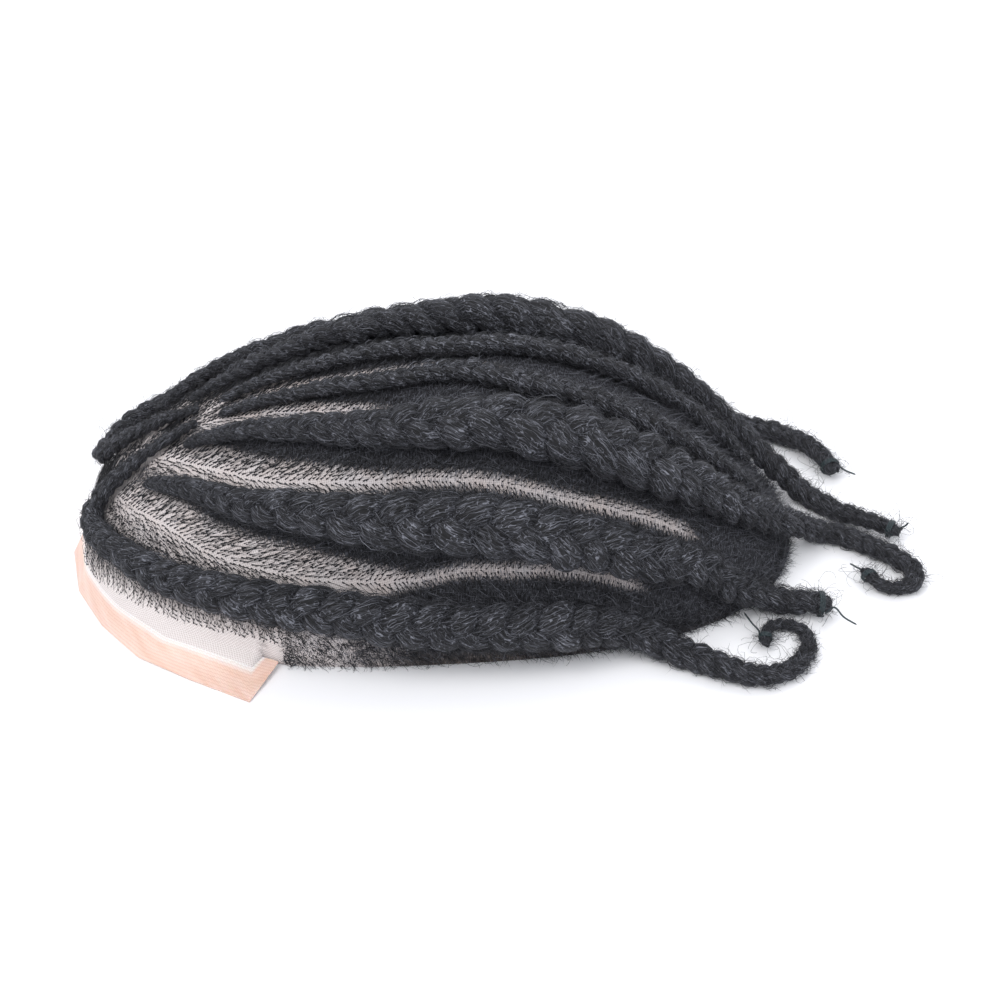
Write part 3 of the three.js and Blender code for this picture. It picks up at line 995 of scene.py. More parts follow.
def all_partings(lead=0):
    """The sampled partings of both sides, by name."""
    partings = {"centre": surface_samples(CENTRE_PARTING, 0)}
    for name, chart in PARTINGS.items():
        for side, sign in (("left", 1), ("right", -1)):
            partings[f"{name}_{side}"] = surface_samples(np.array(chart) * [sign, 1], lead)
    return partings


def bare_width(name, points):
    """Half the width of the bare lace along a parting: broad in front, closed at the back."""
    along = chart_place(points)[1]
    broad = np.clip((BARE_NARROW_AT - along) / (BARE_NARROW_AT - BARE_BROAD_AT), 0, 1)
    to_end = np.arange(len(points))[::-1] * PARTING_STEP
    closing = np.clip(1 - to_end / BARE_CLOSING, 0, 1)
    behind = BARE_BEHIND.get(name.rpartition("_")[0], BARE_MIDDLE)
    return mix(behind, BARE_IN_FRONT, broad) - closing * BARE_CLOSED


def nearest_distance(points, targets, sizes=0.0):
    """The distance from each point to the nearest of the targets, less each target's size."""
    pieces = np.array_split(points, max(1, len(points) // POINTS_AT_ONCE))
    found = [
        (np.sqrt(((piece[:, None] - targets[None]) ** 2).sum(-1)) - sizes).min(1)
        for piece in pieces
    ]
    return np.concatenate(found)


def beside_partings(points):
    """How far points are outside the bare lace of the partings, negative inside it."""
    lines = {name: part[0] for name, part in all_partings().items()}
    widths = np.concatenate([bare_width(name, line) for name, line in lines.items()])
    return nearest_distance(points, np.vstack(list(lines.values())), widths)


def braid_feet():
    """Points along the undersides of the braids, and the braids' widths there."""
    feet = [line.middle - line.up * (line.width * BRAID_FLATNESS / 2)[:, None]
            for line in LINES.values()]
    widths = np.concatenate([line.width for line in LINES.values()])
    return np.vstack(feet)[::FEET_STEP], widths[::FEET_STEP]


def beside_braids(points, share=0.5):
    """How far points on the lace are from a share of the width of the nearest braid."""
    feet, widths = braid_feet()
    return nearest_distance(points, feet, widths * share)


def towards_braids(points):
    """The directions from points on the lace to the nearest place on a braid."""
    feet = braid_feet()[0]
    nearest = [np.argmin(((feet - point) ** 2).sum(-1)) for point in points]
    return unit(feet[nearest] - points)


def grow_on_dome(roots, heading, lengths, steps, lift):
    """Hairs that run over the dome from their roots. The last point is lifted the most."""
    points = [roots]
    direction = heading
    for before, step in zip(steps[:-1], steps[1:]):
        moved = points[-1] + direction * (lengths * (step - before))[:, None]
        across, along = chart_place(moved)
        normal = dome_normal(across, along)
        height = LACE_WALL + HAIR_REST + lift * step**1.5
        points.append(dome_point(across, along) + normal * height[:, None])
        direction = unit(direction - (direction * normal).sum(-1, keepdims=True) * normal)
    return np.stack(points, axis=1)


def plait_strands(line, pitch_share):
    """The three strands of a plait: middle, and two half widths as vectors, at each place."""
    pitch = np.maximum(line.width * pitch_share, SHORTEST_LOBE)
    turns = np.cumsum(line.SPACING / pitch) / 3
    to_end = np.minimum(line.along, line.length - line.along)
    rounding = np.clip(to_end / (line.width / 3), BLUNT_END, 1)
    ends = np.sqrt(1 - (1 - rounding) ** 2)[:, None]
    width = line.width[:, None]
    strands = []
    for strand in range(3):
        phase = 2 * np.pi * (turns + strand / 3)[:, None]
        middle = (
            line.middle
            + line.sideways * width * STRAND_SWING * np.sin(phase)
            + line.up * width * STRAND_RISE * np.sin(2 * phase)
        )
        tangent = unit(np.gradient(middle, axis=0))
        across = unit(np.cross(tangent, line.up))
        upward = np.cross(across, tangent)
        plump = 1 + STRAND_PLUMP * np.cos(2 * phase - np.pi / 2)
        strands.append((
            middle,
            across * width * STRAND_WIDE * plump * ends,
            upward * width * STRAND_HIGH * plump * ends,
        ))
    return strands


def smooth_noise(rng, count, columns):
    """Random numbers that change slowly from row to row."""
    rows = rng.normal(0, 1, (count + NOISE_WINDOW - 1, columns))
    weights = np.hanning(NOISE_WINDOW)
    weights /= np.sqrt((weights**2).sum())
    return np.stack([np.convolve(row, weights, "valid") for row in rows.T], axis=1)


def random_places(rng, line, count):
    """Random places along a braid, more of them where it is wide and towards its back."""
    chance = line.width * (1 + BACK_FUZZ * np.clip(line.middle[:, 1] / BACK_REACH, 0, 1))
    return rng.choice(len(line.along), count, p=chance / chance.sum())


def frizz_places(rng, line, count):
    """Where fibres grow: the place along a braid, the strand, and the turn round the strand."""
    start = random_places(rng, line, count)
    which = rng.integers(0, 3, count)
    return start, which, rng.uniform(-FRIZZ_BELOW, np.pi + FRIZZ_BELOW, count)


def strand_at(strands, which, index):
    """The middle and the two half widths of chosen strands at chosen places."""
    return [np.stack([strand[part] for strand in strands])[which, index] for part in range(3)]


def even_share(places):
    """Places along a hair, from 0 at its root to 1 at its tip, shaped as points are."""
    return (np.arange(places) / (places - 1))[None, :, None]


def lying_frizz(rng, line, strands, count):
    """Fibres that follow a strand's surface and lift off it a little."""
    places = LYING_PLACES
    start, which, turn = frizz_places(rng, line, count)
    narrow = np.clip(line.width[start] / BRAID_WIDTH, LYING_NARROW, 1)
    reach = rng.uniform(*LYING_REACH, count) * narrow
    way = rng.choice([-1, 1], count, p=[LYING_BACKWARDS, 1 - LYING_BACKWARDS])
    steps = np.arange(places) / (places - 1)
    index = start[:, None] + way[:, None] * steps * reach[:, None] / line.SPACING
    index = np.clip(index, 0, len(line.along) - 1).astype(int)
    middle, across, upward = strand_at(strands, which[:, None], index)
    wander = np.cumsum(rng.normal(0, LYING_WANDER, (count, places)), axis=1)
    angle = turn[:, None] + wander
    arm = across * np.cos(angle)[..., None] + upward * np.sin(angle)[..., None]
    lift = rng.uniform(*LYING_LIFT, (count, 1)) * steps
    lift = lift + rng.uniform(*LYING_UNEVEN, (count, places))
    points = middle + arm + unit(arm) * lift[..., None]
    points += kinks(rng, count, places, *LYING_KINKS)
    return points[outside_plait(line, start, points[:, places // 2])]


def outside_plait(line, index, points):
    """True for each point that isn't deep inside the plait."""
    gap = points - line.middle[index]
    width = line.width[index]
    side = (gap * line.sideways[index]).sum(-1) / (width * 0.5)
    rise = (gap * line.up[index]).sum(-1) / (width * BRAID_FLATNESS * 0.5)
    return side**2 + rise**2 > DEEP_INSIDE


def standing_frizz(rng, line, strands, count):
    """Short bent fibres that stand off the plait, longer towards its back."""
    places = STANDING_PLACES
    start, which, turn = frizz_places(rng, line, count)
    middle, across, upward = strand_at(strands, which, start)
    arm = across * np.cos(turn)[:, None] + upward * np.sin(turn)[:, None]
    root = middle + arm * STANDING_ROOT
    heading = line.tangent[start] * rng.normal(*STANDING_ALONG, (count, 1))
    heading = unit(heading + unit(arm) * rng.uniform(*STANDING_OUT, (count, 1)))
    behind = np.clip(line.middle[start, 1] / BACK_REACH, 0, 1)[:, None, None]
    length = STANDING_SHORTEST + STANDING_LONGER * rng.uniform(0, 1, (count, 1, 1)) ** 2
    length = length * (1 + STANDING_LONGER_BEHIND * behind)
    steps = even_share(places)
    curl = unit(np.cross(heading, rng.normal(0, 1, (count, 3))))
    bow = np.sin(steps * np.pi * rng.uniform(*STANDING_BEND, (count, 1, 1)))
    points = root[:, None] + heading[:, None] * length * steps * STANDING_STRAIGHT
    points = points + curl[:, None] * bow * length * STANDING_BOW
    points += kinks(rng, count, places, *STANDING_KINKS)
    return points[outside_plait(line, start, points[:, places // 2])]


# The sizes and colours that a user would change

class ToupeeHair(bpy.types.PropertyGroup):
    """Sizes and amounts of the hair."""

    lobe_share: bpy.props.FloatProperty(
        name="Lobe length", description="Length of one lobe of a plait over the plait's width",
        default=0.6, min=0.4, max=1.5,
    )
    shaft: bpy.props.FloatProperty(
        name="Fibre", description="Half the thickness of a fibre, as coarse as it needs to show",
        default=0.08 * MM, min=0.02 * MM, max=0.3 * MM, unit="LENGTH", precision=5,
    )
    lying: bpy.props.IntProperty(
        name="Lying fibres", description="Fibres on a full braid's surface", default=3750, min=0
    )
    standing: bpy.props.IntProperty(
        name="Standing fibres", description="Fibres that stand off a full braid",
        default=4200, min=0,
    )
    flyaways: bpy.props.IntProperty(
        name="Flyaways", description="Long stray hairs", default=360, min=0
    )
    knot_spacing: bpy.props.FloatProperty(
        name="Knot spacing", description="Distance between knots in the partings",
        default=1.35 * MM, min=0.5 * MM, unit="LENGTH", precision=4,
    )


class ToupeeColours(bpy.types.PropertyGroup):
    """Colours as sRGB hex codes."""

    hair_dark: bpy.props.StringProperty(
        name="Hair", description="Main colour of the hair", default="#1c1c1f"
    )
    # Painted highlight: fibres drawn in this lighter colour stand for fibres that catch the light
    painted_hair_highlight: bpy.props.StringProperty(
        name="Hair light", description="Fibres that catch the light", default="#7e8089"
    )
    lace_grey: bpy.props.StringProperty(
        name="Lace", description="Lace over the dome", default="#cdc9ca"
    )
    lace_pink: bpy.props.StringProperty(
        name="Lace warm", description="Warmer patches of the lace", default="#cec5c2"
    )
    lace_white: bpy.props.StringProperty(
        name="Lace in front", description="Bare lace in front", default="#efe9e7"
    )
    tape_deep: bpy.props.StringProperty(
        name="Tape", description="Deeper colour of the tape", default="#e7c2b0"
    )
    tape_pale: bpy.props.StringProperty(
        name="Tape pale", description="Paler colour of the tape", default="#f1d5c9"
    )
    thread: bpy.props.StringProperty(
        name="Thread", description="Thread of the ties", default="#1b3237"
    )


class PieceOperator:
    """What every operator here shares."""

    bl_options = {"REGISTER", "UNDO"}


LINES = {name: BraidLine(*table) for name, table in BRAIDS.items()}


class TOUPEE_OT_lace(PieceOperator, bpy.types.Operator):
    """Bends the lace over the dome and down the front sheet"""

    bl_idname = "toupee.lace"
    bl_label = "Lace"

    FRONT_COLUMNS = 34
    REAR_COLUMNS = 62
    DOME_RINGS = 46
    EDGE_RINGS = 10
    THICKNESS = 0.6
    RIM_LIFT = 0.65
    FRINGE = 2.5
    REAR_FROM = 0.75
    REAR_TO = 1.5
    REAR_DEPTH = 3.0
    THIN_MARGIN = -1.3
    PALE_BANDS = 0.4
    BARE_FROM = 2
    BARE_OVER = 5
    RIM_FROM = 0.94
    RIM_OVER = 0.05
    SHEET_END = 0.9
    THIN_FROM = 0.75
    SMOOTHED = 6

    def half(self):
        """Points and angles of the columns on the left, from straight ahead to the back."""
        ring = np.arange(self.DOME_RINGS + self.EDGE_RINGS + 1)
        edge_share = np.maximum(ring - self.DOME_RINGS, 0) / self.EDGE_RINGS
        dome_share = np.minimum(ring / self.DOME_RINGS, 1)
        turn = np.linspace(0, LACE_END_TURN, self.FRONT_COLUMNS)[:, None]
        start = (LACE_END_TURN + CLEARANCE / END_SPREAD) * TAPE_END_ANGLE
        rear = np.linspace(start, np.pi, self.REAR_COLUMNS)[:, None]
        angle = np.vstack([turn * TAPE_END_ANGLE, rear])
        distance = np.where(
            edge_share > 0, mix(hairline(angle), 1, edge_share), dome_share * hairline(angle)
        )
        across, along = distance * np.sin(angle), -distance * np.cos(angle)
        normal = dome_normal(across, along)
        normal[self.FRONT_COLUMNS:, -1, 2] = 0
        points = dome_point(across, along) + unit(normal) * LACE_WALL
        reach = turn * TAPE_END_TURN / LACE_END_TURN
        out = edge_share[None] * tape_inner(reach)
        thin = np.clip((edge_share - self.THIN_FROM) / (1 - self.THIN_FROM), 0, 1)
        rise = mix(LACE_WALL, self.SHEET_END, thin)[None, :, None]
        sheet = front_sheet(reach, out) + front_normal(reach + 0 * out, out) * rise
        front = np.arange(len(ring)) > self.DOME_RINGS
        points[:self.FRONT_COLUMNS, front] = sheet[:, front]
        join = slice(self.DOME_RINGS - self.SMOOTHED, self.DOME_RINGS + self.SMOOTHED)
        rows = points[:self.FRONT_COLUMNS]
        for _ in range(self.SMOOTHED):
            rows[:, join] = (
                np.roll(rows, 1, axis=1)[:, join] + np.roll(rows, -1, axis=1)[:, join]
            ) / 2
        points[..., 2] = np.maximum(points[..., 2], self.RIM_LIFT)
        return points, angle[:, 0]

    def execute(self, context):
        points, angle = self.half()
        mirrored = points[:0:-1] * [-1, 1, 1]
        points = np.concatenate([mirrored, points])
        angle = np.concatenate([-angle[:0:-1], angle])
        run = distance_along(points, axis=1)
        uvs = np.stack([run * np.sin(angle)[:, None], -run * np.cos(angle)[:, None]], -1)
        bm, uv_layer = new_bmesh()
        add_grid(bm, uv_layer, points, uvs)
        bmesh.ops.remove_doubles(bm, verts=bm.verts, dist=WELD)
        material = lace_net(context.scene.toupee_colours)
        self.shade(place_sheet(bm, "lace_skin", material, "lace_base", self.THICKNESS))
        return {"FINISHED"}

    def shade(self, mesh):
        """Stores how far each point is under hair, where the pale front is, and the thin rim."""
        flat = np.empty(len(mesh.vertices) * 3, np.float32)
        mesh.vertices.foreach_get("co", flat)
        points = flat.reshape(-1, 3) / MM - CROWN_PLACE
        across, along = chart_place(points)
        distance = np.hypot(across, along)
        angle = np.abs(np.arctan2(across, -along))
        between = beside_partings(points)
        ahead = beside_braids(points)
        thinnest = np.where(angle > TAPE_END_ANGLE, self.THIN_MARGIN, -np.inf)
        margin = np.maximum(self.FRINGE - ahead, thinnest)
        course = np.array(OUTER_COURSE)[OUTER_TURN:]
        course_angle = np.arctan2(course[:, 0], -course[:, 1])
        edge = np.interp(angle, course_angle, np.hypot(course[:, 0], course[:, 1]))
        rear = np.clip((angle - self.REAR_FROM) / (self.REAR_TO - self.REAR_FROM), 0, 1)
        hidden = np.minimum(between, self.REAR_DEPTH)
        covered = np.where(distance > edge, mix(margin, hidden, rear), between)
        in_front = (angle < TAPE_END_ANGLE) & (distance > edge)
        pale_bands = self.PALE_BANDS * np.clip((-along - FORWARD) / FORWARD, 0, 1)
        bare = np.clip((ahead - self.BARE_FROM) / self.BARE_OVER, 0, 1)
        front = np.maximum(bare * in_front, pale_bands)
        rim = np.clip((distance - self.RIM_FROM) / self.RIM_OVER, 0, 1) * rear
        for name, values in (("covered", covered), ("front", front), ("rim", rim)):
            store(mesh, name, values)


class TOUPEE_OT_tape(PieceOperator, bpy.types.Operator):
    """Lays the coated tape round the front sheet with its two ends"""

    bl_idname = "toupee.tape"
    bl_label = "Tape"

    TOP = 0.85
    THICKNESS = 0.7
    ACROSS = 6
    END_ROWS = 12
    FRONT_ROWS = 60

    def execute(self, context):
        end_start = (LACE_WALL + TAPE_END_GAP) / sheet_length(1.0)
        end_stop = float(tape_inner(TAPE_END_TURN))
        share = np.linspace(0, 1, self.END_ROWS)
        end_turn = np.full_like(share, TAPE_END_TURN)
        inner = np.column_stack([end_turn, mix(end_start, end_stop, share)])
        outer = np.column_stack([np.ones_like(share), mix(end_start, 1, share)])
        turn = np.linspace(LACE_END_TURN, 0, self.FRONT_ROWS)
        inner = np.vstack([inner, np.column_stack([turn, tape_inner(turn)])])
        outer = np.vstack([outer, np.column_stack([turn, np.ones_like(turn)])])
        flip = [-1, 1]
        inner = np.vstack([inner, inner[-2::-1] * flip])
        outer = np.vstack([outer, outer[-2::-1] * flip])
        rows = [mix(inner, outer, step / self.ACROSS) for step in range(self.ACROSS + 1)]
        place = np.stack(rows, axis=1)
        turn, out = place[..., 0], place[..., 1]
        points = front_sheet(turn, out) + front_normal(turn, out) * self.TOP
        run = distance_along(points)
        width = np.broadcast_to(np.arange(self.ACROSS + 1) * TAPE_WIDTH / self.ACROSS, run.shape)
        bm, uv_layer = new_bmesh()
        add_grid(bm, uv_layer, points, np.stack([run, width], -1))
        material = coated_tape(context.scene.toupee_colours)
        place_sheet(bm, "tape_band", material, "tape_border", self.THICKNESS)
        return {"FINISHED"}


class TOUPEE_OT_plaits(PieceOperator, bpy.types.Operator):
    """Plaits three strands along each braid"""

    bl_idname = "toupee.plaits"
    bl_label = "Plaits"

    RING_STEP = 2
    ROUGH = 0.07
    SWAY = 0.018

    def execute(self, context):
        material = kinky_hair(context.scene.toupee_colours)
        share = context.scene.toupee_hair.lobe_share
        for seed, (name, line) in enumerate(LINES.items()):
            rng = np.random.default_rng(seed + 11)
            bm, uv_layer = new_bmesh()
            for middle, across, upward in plait_strands(line, share):
                rings = np.r_[0:len(middle) - 1:self.RING_STEP, len(middle) - 1]
                rough = 1 + self.ROUGH * smooth_noise(rng, len(rings), 1)
                sway = self.SWAY * smooth_noise(rng, len(rings), 3) * line.width[rings, None]
                add_tube(
                    bm, uv_layer, middle[rings] + sway, across[rings] * rough, upward[rings] * rough
                )
            close_and_turn(bm)
            mesh = bmesh_to_mesh(bm, f"plait_{name}")
            place_mesh(f"plait_{name}", mesh, material, [f"braid_{name}"])
        return {"FINISHED"}


class TOUPEE_OT_frizz(PieceOperator, bpy.types.Operator):
    """Covers the plaits with crimped fibres"""

    bl_idname = "toupee.frizz"
    bl_label = "Frizz"

    THICKNESS = {"lying": (0.75, 1.1), "standing": (0.45, 0.95)}
    FULL_SHARE = 0.97
    LYING_TRIES = 1.3  # for each fibre asked for, as those inside the plait are dropped
    STANDING_TRIES = 1.15

    def execute(self, context):
        hair = context.scene.toupee_hair
        material = loose_fibre(context.scene.toupee_colours)
        shaft = hair.shaft / MM
        full = LINES["outer_left"]
        for seed, (name, line) in enumerate(LINES.items()):
            rng = np.random.default_rng(seed + 101)
            strands = plait_strands(line, hair.lobe_share)
            size = min(1.0, line.width.sum() / full.width.sum() * self.FULL_SHARE)
            tries = int(hair.lying * size * self.LYING_TRIES)
            lying = lying_frizz(rng, line, strands, tries)
            tries = int(hair.standing * size * self.STANDING_TRIES)
            standing = standing_frizz(rng, line, strands, tries)
            for kind, points in (("lying", lying), ("standing", standing)):
                count, places = points.shape[:2]
                tones = rng.beta(*TONES[kind], count)
                thickness = shaft * rng.uniform(*self.THICKNESS[kind], count)
                radii = taper(count, places, thickness, thickness)
                place_hair(f"frizz_{kind}_{name}", points, radii, tones, material)
        return {"FINISHED"}


class TOUPEE_OT_parting_hair(PieceOperator, bpy.types.Operator):
    """Ties the short hair along the partings, knot by knot, and the hair of front and margin"""

    bl_idname = "toupee.parting_hair"
    bl_label = "Parting hair"

    FIRST_ROW = 0.6
    LEAD = 9
    ROWS = 11
    OPEN_ROWS = 2
    CLOSE_SPACING = 0.66
    COVERED_REACH = 3.5
    SLANT = math.radians(38)
    UNEVEN_ROWS = (0.2, 0.42)  # in the open rows, and in the covered ones
    SLANT_SPREAD = 0.25
    SLANT_SPREAD_A_ROW = 0.04
    SHARED_REACH = 0.7  # where two partings' rows meet, they overlap by this much
    UNDER_BRAID = -1.2
    KNOTS = (0.31, 0.22)
    PARTING_LIFT = (0.2, 1.5)
    DRAWN_UP = (0.5, 3.5)
    DRAWN_UP_WITHIN = 5  # of a braid's side
    PARTING_KINKS = (0.26, 0.2)
    PARTING_THICKNESS = (0.6, 0.95)
    SHADED_OVER = 3
    FRONT_COLUMNS = 138
    FRONT_SPACING = 1.25
    FRONT_FROM = 0.7
    FRINGE_SIDE = 9.5
    FRINGE_MIDDLE = 15.5
    MIDDLE_REACH = 45.0
    FRINGE_RISE = (0.2, 1.3)
    FRINGE_ARCH = 2.5
    FRINGE_LENGTH = (4.5, 11)
    FRINGE_PAST = 3.5  # how far a hair may reach over the braid ahead of which it grows
    FRINGE_UNDER = -1.5
    TO_BRAID = 0.75
    TO_BACK = 0.4
    FRINGE_ASTRAY = 0.16
    FRINGE_BOW = 0.8
    FRINGE_KINKS = (0.14, 0.1)
    FRINGE_KNOT = 0.26
    FRINGE_THICKNESS = (0.5, 0.85)
    MARGIN_CURLS = 4300
    MARGIN_FIRST = TAPE_END_ANGLE * 1.01  # just behind the tape's end
    MARGIN_EVEN = 0.3  # share of the curls that is spread evenly, and the rest thins forwards
    MARGIN_REACH = (0.86, 0.995)  # on the chart
    MARGIN_CLEAR = 0.3
    MARGIN_ALONG = (0.5, 0.5)
    MARGIN_ASTRAY = 0.35
    MARGIN_OUT = (0.2, 0.8)
    CURL_ASTRAY = 0.3
    MARGIN_KINKS = (0.1, 0.05)
    MARGIN_KNOT = 0.15
    MARGIN_THICKNESS = 0.75
    MARGIN_LENGTH = (1.8, 5.0)
    MARGIN_SWEEP = (1.0, 3.6)
    MAT_TRIES = 25500
    MAT_ACROSS = (-0.95, 0.95)
    MAT_ALONG = (-0.5, 0.98)
    MAT_FROM_PARTING = (0.5, 4)
    MAT_CLEAR = 0.25
    MAT_IN_FRONT = 0.55  # share of the hairs that is kept ahead of the crown
    MAT_FULL_AT = 3
    MAT_ASTRAY = 0.6
    MAT_LIFT = (0.5, 2.5)
    MAT_HIGHER_BEHIND = 1.2
    MAT_KINKS = (0.3, 0.25)
    MAT_THICKNESS = (0.55, 0.95)
    MAT_LENGTH = (3, 8)
    PARTING_LENGTH = (4.0, 7.5)
    SHORTER_IN_FRONT = 0.68
    CURL_STEPS = np.array([0.0, 0.1, 0.32, 0.55, 0.78, 1.0])

    def rows(self, rng, spacing):
        """Roots, headings and row numbers of the knots in rows beside the partings."""
        partings = all_partings(self.LEAD)
        roots, headings, numbers = [], [], []
        for name, (line, tangent, normal) in partings.items():
            others = np.vstack([part[0] for key, part in partings.items() if key != name])
            run = np.arange(len(line), dtype=float)
            for row in range(self.ROWS):
                offset = self.FIRST_ROW + row * spacing
                gap = spacing if row < self.OPEN_ROWS else spacing * self.CLOSE_SPACING
                at = np.arange((row % 2) * gap / 2, len(line) - 1, gap)
                loose = self.UNEVEN_ROWS[row >= self.OPEN_ROWS]
                at = np.clip(at + rng.normal(0, loose, len(at)), 0, len(line) - 1)
                on_line = [np.column_stack([np.interp(at, run, column) for column in table.T])
                           for table in (line, tangent, normal)]
                beside = unit(np.cross(on_line[2], on_line[1]))
                for side in (-1, 1):
                    jitter = rng.normal(0, loose, (len(at), 1))
                    moved = on_line[0] + beside * side * (offset + jitter)
                    across, along = chart_place(moved)
                    root = dome_point(across, along) + dome_normal(across, along) * LACE_WALL
                    spread = self.SLANT_SPREAD + self.SLANT_SPREAD_A_ROW * row
                    slant = self.SLANT + rng.normal(0, spread, (len(at), 1))
                    heading = beside * side * np.cos(slant) + on_line[1] * np.sin(slant)
                    own = nearest_distance(root, line)
                    keep = own <= nearest_distance(root, others) + self.SHARED_REACH
                    inside = np.hypot(across, along) < hairline(np.arctan2(across, -along))
                    roots.append(root[keep & inside])
                    headings.append(heading[keep & inside])
                    numbers.append(np.full((keep & inside).sum(), row))
        return np.vstack(roots), unit(np.vstack(headings)), np.concatenate(numbers)

    def grow_partings(self, rng, material, shaft, spacing):
        """The herringbone of short hair from the partings towards the braids."""
        roots, heading, row = self.rows(rng, spacing)
        beside = beside_braids(roots)
        clear = (beside > self.UNDER_BRAID) & (beside_partings(roots) < self.COVERED_REACH)
        roots, heading, row, beside = roots[clear], heading[clear], row[clear], beside[clear]
        places = len(KNOT_STEPS)
        count = len(roots)
        ahead = np.clip(-chart_place(roots)[1] - FORWARD, 0, FORWARD) / FORWARD
        length = rng.uniform(*self.PARTING_LENGTH, count) * mix(1.0, self.SHORTER_IN_FRONT, ahead)
        drawn_up = np.clip(1 - beside / self.DRAWN_UP_WITHIN, 0, 1) * (row >= self.OPEN_ROWS)
        lift = rng.uniform(*self.PARTING_LIFT, count)
        lift = lift + rng.uniform(*self.DRAWN_UP, count) * drawn_up
        points = grow_on_dome(roots, heading, length, KNOT_STEPS, lift)
        points += kinks(rng, count, places, *self.PARTING_KINKS) * KNOT_STEPS[:, None]
        knot = np.where(row < self.OPEN_ROWS + 2, *self.KNOTS)
        thickness = shaft * rng.uniform(*self.PARTING_THICKNESS, count)
        radii = taper(count, places, knot, thickness)
        # Hairs over the covered lace get lighter tones: painted highlights that show them against the
        # dark
        shade = np.clip(beside_partings(roots) / self.SHADED_OVER, 0, 1)
        tones = rng.beta(*TONES["parting"], count) * (1 - shade)
        tones = tones + rng.beta(*TONES["under"], count) * shade
        for side, keep in (("left", roots[:, 0] >= 0), ("right", roots[:, 0] < 0)):
            name = f"parting_hair_{side}"
            place_hair(name, points[keep], radii[keep], tones[keep], material)

    def front_roots(self, rng, spacing):
        """Knots in rows ahead of the first braids: their places, normals and ways back."""
        roots, normals, backs = [], [], []
        for turn in np.linspace(-0.995, 0.995, self.FRONT_COLUMNS):
            angle = turn * TAPE_END_ANGLE
            distance = np.linspace(self.FRONT_FROM, hairline(angle), 24)[:-1]
            across, along = distance * np.sin(angle), -distance * np.cos(angle)
            out = np.linspace(0, tape_inner(turn), 24)
            curve = np.vstack([dome_point(across, along), front_sheet(turn, out)])
            upward = np.vstack([dome_normal(across, along), front_normal(turn + 0 * out, out)])
            points, upward = even_steps(curve, upward, spacing)[1:]
            upward = unit(upward)
            points = points + upward * LACE_WALL
            roots.append(points + rng.normal(0, 0.12, points.shape))
            normals.append(upward)
            backs.append(unit(-np.gradient(points, axis=0)))
        return np.vstack(roots), np.vstack(normals), np.vstack(backs)

    def grow_front(self, rng, material, shaft, spacing):
        """The baby hair in front of the first braids, drawn back from its knots."""
        root, normal, back = self.front_roots(rng, spacing)
        middle = np.clip(1 - np.abs(root[:, 0]) / self.MIDDLE_REACH, 0, 1)
        width = mix(self.FRINGE_SIDE, self.FRINGE_MIDDLE, middle)
        ahead = beside_braids(root)
        keep = (ahead > self.FRINGE_UNDER) & (ahead < width)
        root, normal, back, ahead = root[keep], normal[keep], back[keep], ahead[keep]
        count, places = len(root), len(self.CURL_STEPS)
        steps = self.CURL_STEPS[None, :, None]
        heading = self.TO_BRAID * towards_braids(root) + self.TO_BACK * back
        heading = heading + rng.normal(0, self.FRINGE_ASTRAY, (count, 3))
        heading = unit(heading - (heading * normal).sum(-1, keepdims=True) * normal)
        length = np.minimum(rng.uniform(*self.FRINGE_LENGTH, count), ahead + self.FRINGE_PAST)
        length = length[:, None, None]
        points = root[:, None] + heading[:, None] * steps * length
        rise = rng.uniform(*self.FRINGE_RISE, (count, 1, 1))
        points = points + normal[:, None] * np.sin(steps * self.FRINGE_ARCH) * rise
        bow = unit(np.cross(normal, heading))[:, None] * np.sin(steps * np.pi)
        points = points + bow * rng.normal(0, self.FRINGE_BOW, (count, 1, 1))
        points = self.raise_over_dome(points)
        points += kinks(rng, count, places, *self.FRINGE_KINKS) * steps
        thickness = shaft * rng.uniform(*self.FRINGE_THICKNESS, count)
        radii = taper(count, places, self.FRINGE_KNOT, thickness)
        tones = rng.beta(*TONES["front"], count)
        place_hair("front_hair", points, radii, tones, material)

    def raise_over_dome(self, points):
        """Keeps the hair that runs back over the hairline above the dome."""
        across, along = chart_place(points)
        angle = np.arctan2(across, -along)
        behind = np.hypot(across, along) < hairline(angle)
        normal = dome_normal(across, along)
        surface = dome_point(across, along) + normal * (LACE_WALL + HAIR_REST)
        depth = ((points - surface) * normal).sum(-1)
        low = behind & (depth < 0)
        return np.where(low[..., None], surface, points)

    def grow_margin(self, rng, material, shaft):
        """The short curls on the margin below the outer braids and along the back."""
        count, places = self.MARGIN_CURLS, 4
        first = self.MARGIN_FIRST
        share = rng.uniform(0, 1, count)
        even = self.MARGIN_EVEN
        angle = first + (np.pi - first) * (even * share + (1 - even) * share**2)
        angle *= rng.choice([-1, 1], count)
        distance = rng.uniform(*self.MARGIN_REACH, count)
        across, along = distance * np.sin(angle), -distance * np.cos(angle)
        normal = dome_normal(across, along)
        root = dome_point(across, along) + normal * LACE_WALL
        clear = beside_braids(root, self.MARGIN_CLEAR) > 0
        root, normal, angle = root[clear], normal[clear], angle[clear]
        count = len(root)
        around = unit(np.cross(normal, np.array([0, 0, 1.0]))) * -np.sign(angle)[:, None]
        heading = around * rng.normal(*self.MARGIN_ALONG, (count, 1))
        heading = heading + rng.normal(0, self.MARGIN_ASTRAY, (count, 3))
        heading = unit(heading + normal * rng.uniform(*self.MARGIN_OUT, (count, 1)))
        steps = even_share(places)
        length = rng.uniform(*self.MARGIN_LENGTH, (count, 1, 1))
        curl = unit(np.cross(heading, normal) + rng.normal(0, self.CURL_ASTRAY, (count, 3)))
        sweep = rng.uniform(*self.MARGIN_SWEEP, (count, 1, 1))
        points = root[:, None] + heading[:, None] * np.sin(steps * sweep) / sweep * length
        points = points + curl[:, None] * (1 - np.cos(steps * sweep)) / sweep * length
        points += kinks(rng, count, places, *self.MARGIN_KINKS)
        radii = taper(count, places, self.MARGIN_KNOT, shaft * self.MARGIN_THICKNESS)
        tones = rng.beta(*TONES["margin"], count)
